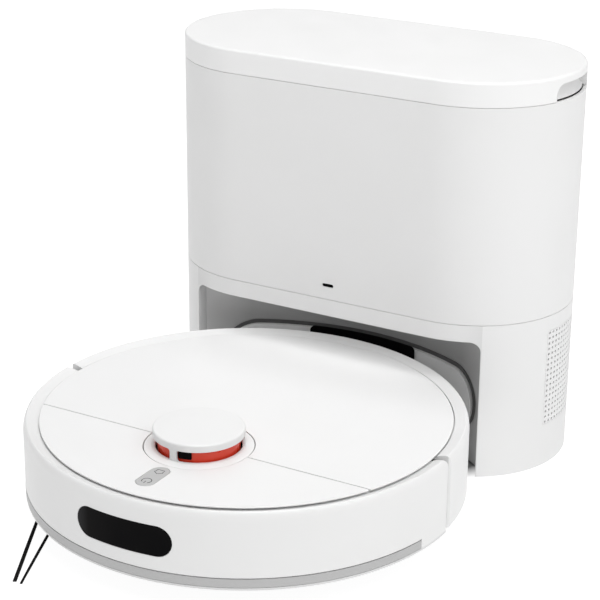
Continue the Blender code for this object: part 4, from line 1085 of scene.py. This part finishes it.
def make_panel():
    panel = bay_patch("bay_panel", PANEL_INNER, PANEL_OUTER - 0.0007, (0.025, 0.083),
                      rectangle((-0.120, 0.028), (0.120, 0.0795), 0.024, 16))
    bosses = []
    for sign in (-1, 1):
        x, z = sign * CONTACT_X, CONTACT_Z
        outline = rectangle((x - 0.0078, z - 0.0078), (x + 0.0078, z + 0.0078), 0.003)
        boss = slab("boss", outline, -0.0450, -0.0230, 0.0008, "Y")
        cut(boss, bar("bore", disc(0.0026, SMALL, (x, z))(0), -0.046, -0.036, "Y"))
        bosses.append(boss)
    cut(panel, duct_hole(-0.045))
    # The docking face shares the base's white, with its painted bay shade.
    wear(merge("docking_face", [panel] + bosses), WHITE_BASE_BAY_SHADE, "dock", "white_shell", "docking_panel")
    # Painted shade: a thin dark strip just behind the panel, showing round its edge, stands in for the
    # shadow of its step.
    groove = bay_patch("panel_edge_shade", PANEL_OUTER - 0.0006, PANEL_OUTER + 0.0001, (0.020, 0.090),
                       rectangle((-0.1230, 0.0255), (0.1230, 0.0828), 0.027, 16))
    cut(groove, duct_hole(-0.045))
    wear(groove, PANEL_EDGE_SHADE, "dock", "dark_frame")
    pane = bay_patch("infrared_pane", PANEL_INNER - 0.0019, PANEL_INNER - 0.0003, (0.045, 0.090),
                     rectangle((-0.051, 0.050), (0.051, 0.082), 0.004, 8))
    wear(pane, GLOSS, "dock", "black_gloss", "ir_window")
    for side, sign in (("left", -1), ("right", 1)):
        x, z = sign * CONTACT_X, CONTACT_Z
        face = slab("spring_pad_" + side, rectangle((x - 0.005, z - 0.005), (x + 0.005, z + 0.005), 0.0015),
                    -0.0484, -0.0470, 0.0005, "Y")
        stem = bar("stem", disc(0.002, SMALL, (x, z))(0), -0.0474, -0.0390, "Y")
        wear(merge("contact_pad_" + side, [face, stem]), CONTACT, "dock_contact_" + side, "contact_metal",
             "dock_contact_" + side)
    folds = [(0.0002 if k % 2 else 0.0012, -0.0220 - 0.0018 * k) for k in range(9)]
    gasket = collar(
        "port_seal", rectangle((-0.0235, 0.0255), (0.0235, 0.0495), 0.004),
        [(0.0, -0.0173), (0.0, -0.0202)] + folds
        + [(0.0008, -0.0388), (0.0022, -0.0392), (0.0054, -0.0384), (0.0054, -0.0173)], "Y",
    )
    wear(gasket, RUBBER, "dock", "black_rubber", "suction_gasket")


def make_dust_bag():
    low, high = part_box("dust_bag")
    rng = random.Random(5)
    body_low = 0.1830
    half_x, half_y, centre = (high.x - low.x) / 2, (high.y - low.y) / 2, (low + high) / 2
    rings, levels = [], 28
    creases = [(rng.uniform(0, 2 * math.pi), rng.uniform(3, 9), rng.uniform(0.3, 1.0)) for _ in range(9)]
    for k in range(levels + 1):
        t = k / levels
        z = body_low + (high.z - 0.0004 - body_low) * t
        drawn_in = max(0.0, (t - 0.93) / 0.07) ** 2 + max(0.0, (0.07 - t) / 0.07) ** 2
        swell = 1 - 0.10 * abs(2 * t - 1) ** 4 - 0.32 * drawn_in
        ring = []
        for a in (2 * math.pi * j / 120 for j in range(120)):
            c, s = math.cos(a), math.sin(a)
            power = 0.32
            x = math.copysign(abs(c) ** power, c) * half_x
            y = math.copysign(abs(s) ** power, s) * half_y
            gusset = 0.0
            if abs(x) > half_x * 0.7:
                gusset = 0.010 * math.exp(-((y / half_y) / 0.28) ** 2) * math.sin(math.pi * t)
            waves = sum(w * math.sin(n * a + p + 5 * t) for p, n, w in creases)
            fold = waves * 0.00045 * math.sin(math.pi * min(t * 1.4, 1))
            scale = swell - gusset / half_x + fold / half_y - 0.012
            ring.append((centre.x + x * scale, centre.y + y * scale, z))
        rings.append(ring)
    bag = skin("collection_bag", rings)
    smoother = bag.modifiers.new("Soft", "SUBSURF")
    smoother.levels = smoother.render_levels = 1
    wear(bag, FLEECE, "dock", "bag_fleece", "dust_bag")
    around = rectangle((low.x + 0.0085, low.y + 0.0075), (high.x - 0.0085, high.y - 0.0075), 0.012, 12)
    bead = [(0.0, -0.0150), (-0.0018, -0.0142), (0.0, -0.0134), (0.004, -0.0142)]
    seam = collar("bag_seam", around, [(inset, high.z + z) for inset, z in bead])
    wear(seam, FLEECE, "dock", "bag_fleece")
    neck = collar("bag_neck", disc(0.0238, MEDIUM, (0, DUCT_Y)),
                  [(0.0, 0.1787), (0.0, 0.1800), (0.004, 0.1812), (0.004, 0.1895),
                   (0.010, 0.1895), (0.010, 0.1787)])
    wear(neck, CARD, "dock", "bag_fleece")


def make_inlet():
    low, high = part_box("power_inlet")
    outline = rectangle((low.x, low.z), (high.x, high.z), 0.002)
    body = slab("mains_inlet", outline, low.y, high.y - 0.0002, 0.0005, "Y")
    socket = rectangle((-0.0765, 0.0200), (-0.0635, 0.0300), 0.0045, 10)
    cut(body, bar("socket", socket(0), 0.072, 0.095, "Y"))
    wear(body, DARK, "dock", "dark_frame", "power_inlet")
    pins = [
        tube("pin", [(x, y, 0.025) for y in (0.0716, 0.0825, 0.0835)], [0.0010, 0.0010, 0.0006], 16)
        for x in (-0.0730, -0.0670)
    ]
    wear(merge("inlet_pins", pins), STEEL, "dock", "steel")


# --- CAD nodes that stay as they are, with better materials ---
KEPT = {
    "chassis": DARK, "lidar_base": DARK, "lidar_motor": STEEL, "lidar_belt": RUBBER, "lidar_pulley": GREY,
    "brush_housing": DARK, "brush_guard": DARK, "brush_motor": STEEL, "side_brush_motor": DARK,
    "dust_box": SMOKY, "dust_filter": PAPER, "fan_housing": DARK, "fan_motor": STEEL, "fan_impeller": GREY,
    "battery": CELL, "main_board": BOARD, "left_rim": GREY, "right_rim": GREY, "left_wheel_arm": GREY,
    "right_wheel_arm": GREY, "left_wheel_motor": STEEL, "right_wheel_motor": STEEL, "caster_fork": DARK,
    "suction_duct": GREY, "suction_motor": STEEL, "power_board": BOARD, "anti_slip_foot": RUBBER,
}


def dress_kept_nodes():
    for name, look in KEPT.items():
        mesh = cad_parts[name].data
        mesh.materials.clear()
        mesh.materials.append(look)


# --- Floor, backdrop, light and camera ---
FLOOR_HALF, BACKDROP_R, BACKDROP_TOP, BACKDROP_SIDES = 9.0, 8.9, 3.0, 64


def pale_look(name, emission):
    look = Look(name, 0.9, Emission_Color=(1.0, 1.0, 1.0, 1.0), Emission_Strength=emission)
    look.colour(look.blend(look.noise(3, 2), (0.24, 0.24, 0.24), (0.26, 0.26, 0.26)))
    return look


def make_floor():
    """A pale floor that glows softly, except under the dock, where the glow would show in the bay."""
    look = pale_look("Floor", 1.0)
    look.shader.inputs["Specular IOR Level"].default_value = 0.0
    place = look.add("ShaderNodeVectorMath", {0: look.where, 1: (0.0, 0.03, 0.0)}, operation="ADD")
    shares = {0: place.outputs["Vector"], 1: (0.150, 0.090, 1.0)}
    inside = look.add("ShaderNodeVectorMath", shares, operation="DIVIDE")
    reach = look.add("ShaderNodeVectorMath", {0: inside.outputs["Vector"]}, operation="LENGTH")
    glow = look.span(reach.outputs["Value"], 0.0, 0.94, 0.85, 1.0)
    look.tree.links.new(glow, look.shader.inputs["Emission Strength"])
    half = FLOOR_HALF
    floor = new_piece("floor", [(-half, -half, 0), (half, -half, 0), (half, half, 0), (-half, half, 0)],
                      [(0, 1, 2, 3)], (0, 0, -0.0002))
    floor.data.materials.append(look.material)


def make_backdrop():
    """A white ring round the scene that lights and shades nothing."""
    count = BACKDROP_SIDES
    ring = [(BACKDROP_R * math.cos(math.tau * i / count), BACKDROP_R * math.sin(math.tau * i / count))
            for i in range(count)]
    points = [(x, y, z) for z in (-0.01, BACKDROP_TOP) for x, y in ring]
    sides = [(i, count + i, count + (i + 1) % count, (i + 1) % count) for i in range(count)]
    backdrop = new_piece("backdrop", points, sides, (0, 0, 0))
    backdrop.data.materials.append(pale_look("Backdrop", 1.0).material)
    backdrop.visible_diffuse = backdrop.visible_glossy = backdrop.visible_shadow = False


def make_world():
    world = bpy.data.worlds.new("Studio")
    bpy.context.scene.world = world
    world.use_nodes = True
    world.node_tree.nodes["Background"].inputs["Color"].default_value = (1.0, 1.0, 1.0, 1.0)
    world.node_tree.nodes["Background"].inputs["Strength"].default_value = 0.35


LIGHT_DISTANCE, LIGHT_SIZE, LIGHT_AIM = 2.6, 1.6, Vector((0, -0.1, 0.15))


def from_view(azimuth, elevation):
    """The direction towards a viewer: azimuth 0 is in front of the dock and 90 is at its +X end."""
    a, e = math.radians(azimuth), math.radians(elevation)
    return Vector((math.sin(a) * math.cos(e), -math.cos(a) * math.cos(e), math.sin(e)))


def area_light(name, azimuth, elevation, power):
    back = from_view(azimuth, elevation)
    lamp = bpy.data.lights.new(name, "AREA")
    lamp.size, lamp.energy = LIGHT_SIZE, power
    obj = bpy.data.objects.new(name, lamp)
    bpy.context.scene.collection.objects.link(obj)
    obj.location = LIGHT_AIM + back * LIGHT_DISTANCE
    obj.rotation_euler = back.to_track_quat("Z", "Y").to_euler()


def bay_light():
    """A soft fill under the dock's overhang, so the docked robot's back edge stays as light as its front."""
    lamp = bpy.data.lights.new("bay_fill", "AREA")
    lamp.shape, lamp.size, lamp.size_y, lamp.energy = "RECTANGLE", 0.20, 0.030, 0.021
    obj = bpy.data.objects.new("bay_fill", lamp)
    bpy.context.scene.collection.objects.link(obj)
    obj.location = (-0.010, -0.070, BAY_ROOF - 0.0015)
    obj.visible_camera = obj.visible_glossy = False


CAMERA_AZIMUTH, CAMERA_ELEVATION, CAMERA_ROLL = 29.68, 21.14, 0.45
CAMERA_DISTANCE, CAMERA_AIM = 1.4734, Vector((0.0230, -0.1725, 0.1700))
CAMERA_LENS, CAMERA_SENSOR = 112.88, 36.0


def make_camera():
    azimuth, roll = math.radians(CAMERA_AZIMUTH), math.radians(CAMERA_ROLL)
    back = from_view(CAMERA_AZIMUTH, CAMERA_ELEVATION)
    right = Vector((math.cos(azimuth), math.sin(azimuth), 0.0))
    tilted = right * math.cos(roll) + back.cross(right) * math.sin(roll)
    turn = Matrix((tilted, back.cross(tilted), back)).transposed()
    camera = bpy.data.objects.new("camera", bpy.data.cameras.new("camera"))
    bpy.context.scene.collection.objects.link(camera)
    camera.data.lens, camera.data.sensor_width = CAMERA_LENS, CAMERA_SENSOR
    camera.location = CAMERA_AIM + back * CAMERA_DISTANCE
    camera.rotation_euler = turn.to_euler()
    bpy.context.scene.camera = camera


make_bumper()
make_rear_wall()
make_top()
make_key()
make_turret()
make_rotor()
make_tyre("left")
make_tyre("right")
make_caster()
make_main_brush()
make_side_brush()
make_mid_deck()
make_dust_cover()
make_dock_base()
make_grille()
make_dock_body()
make_dock_cover()
make_panel()
make_dust_bag()
make_inlet()
dress_kept_nodes()
make_floor()
make_backdrop()
make_world()
area_light("key", 45, 60, 25)
bay_light()
area_light("side", 75, 35, 11.5)
area_light("top", 0, 88, 29.4)
area_light("left", -120, 35, 4.5)
make_camera()
bpy.context.scene.view_settings.view_transform = "Standard"
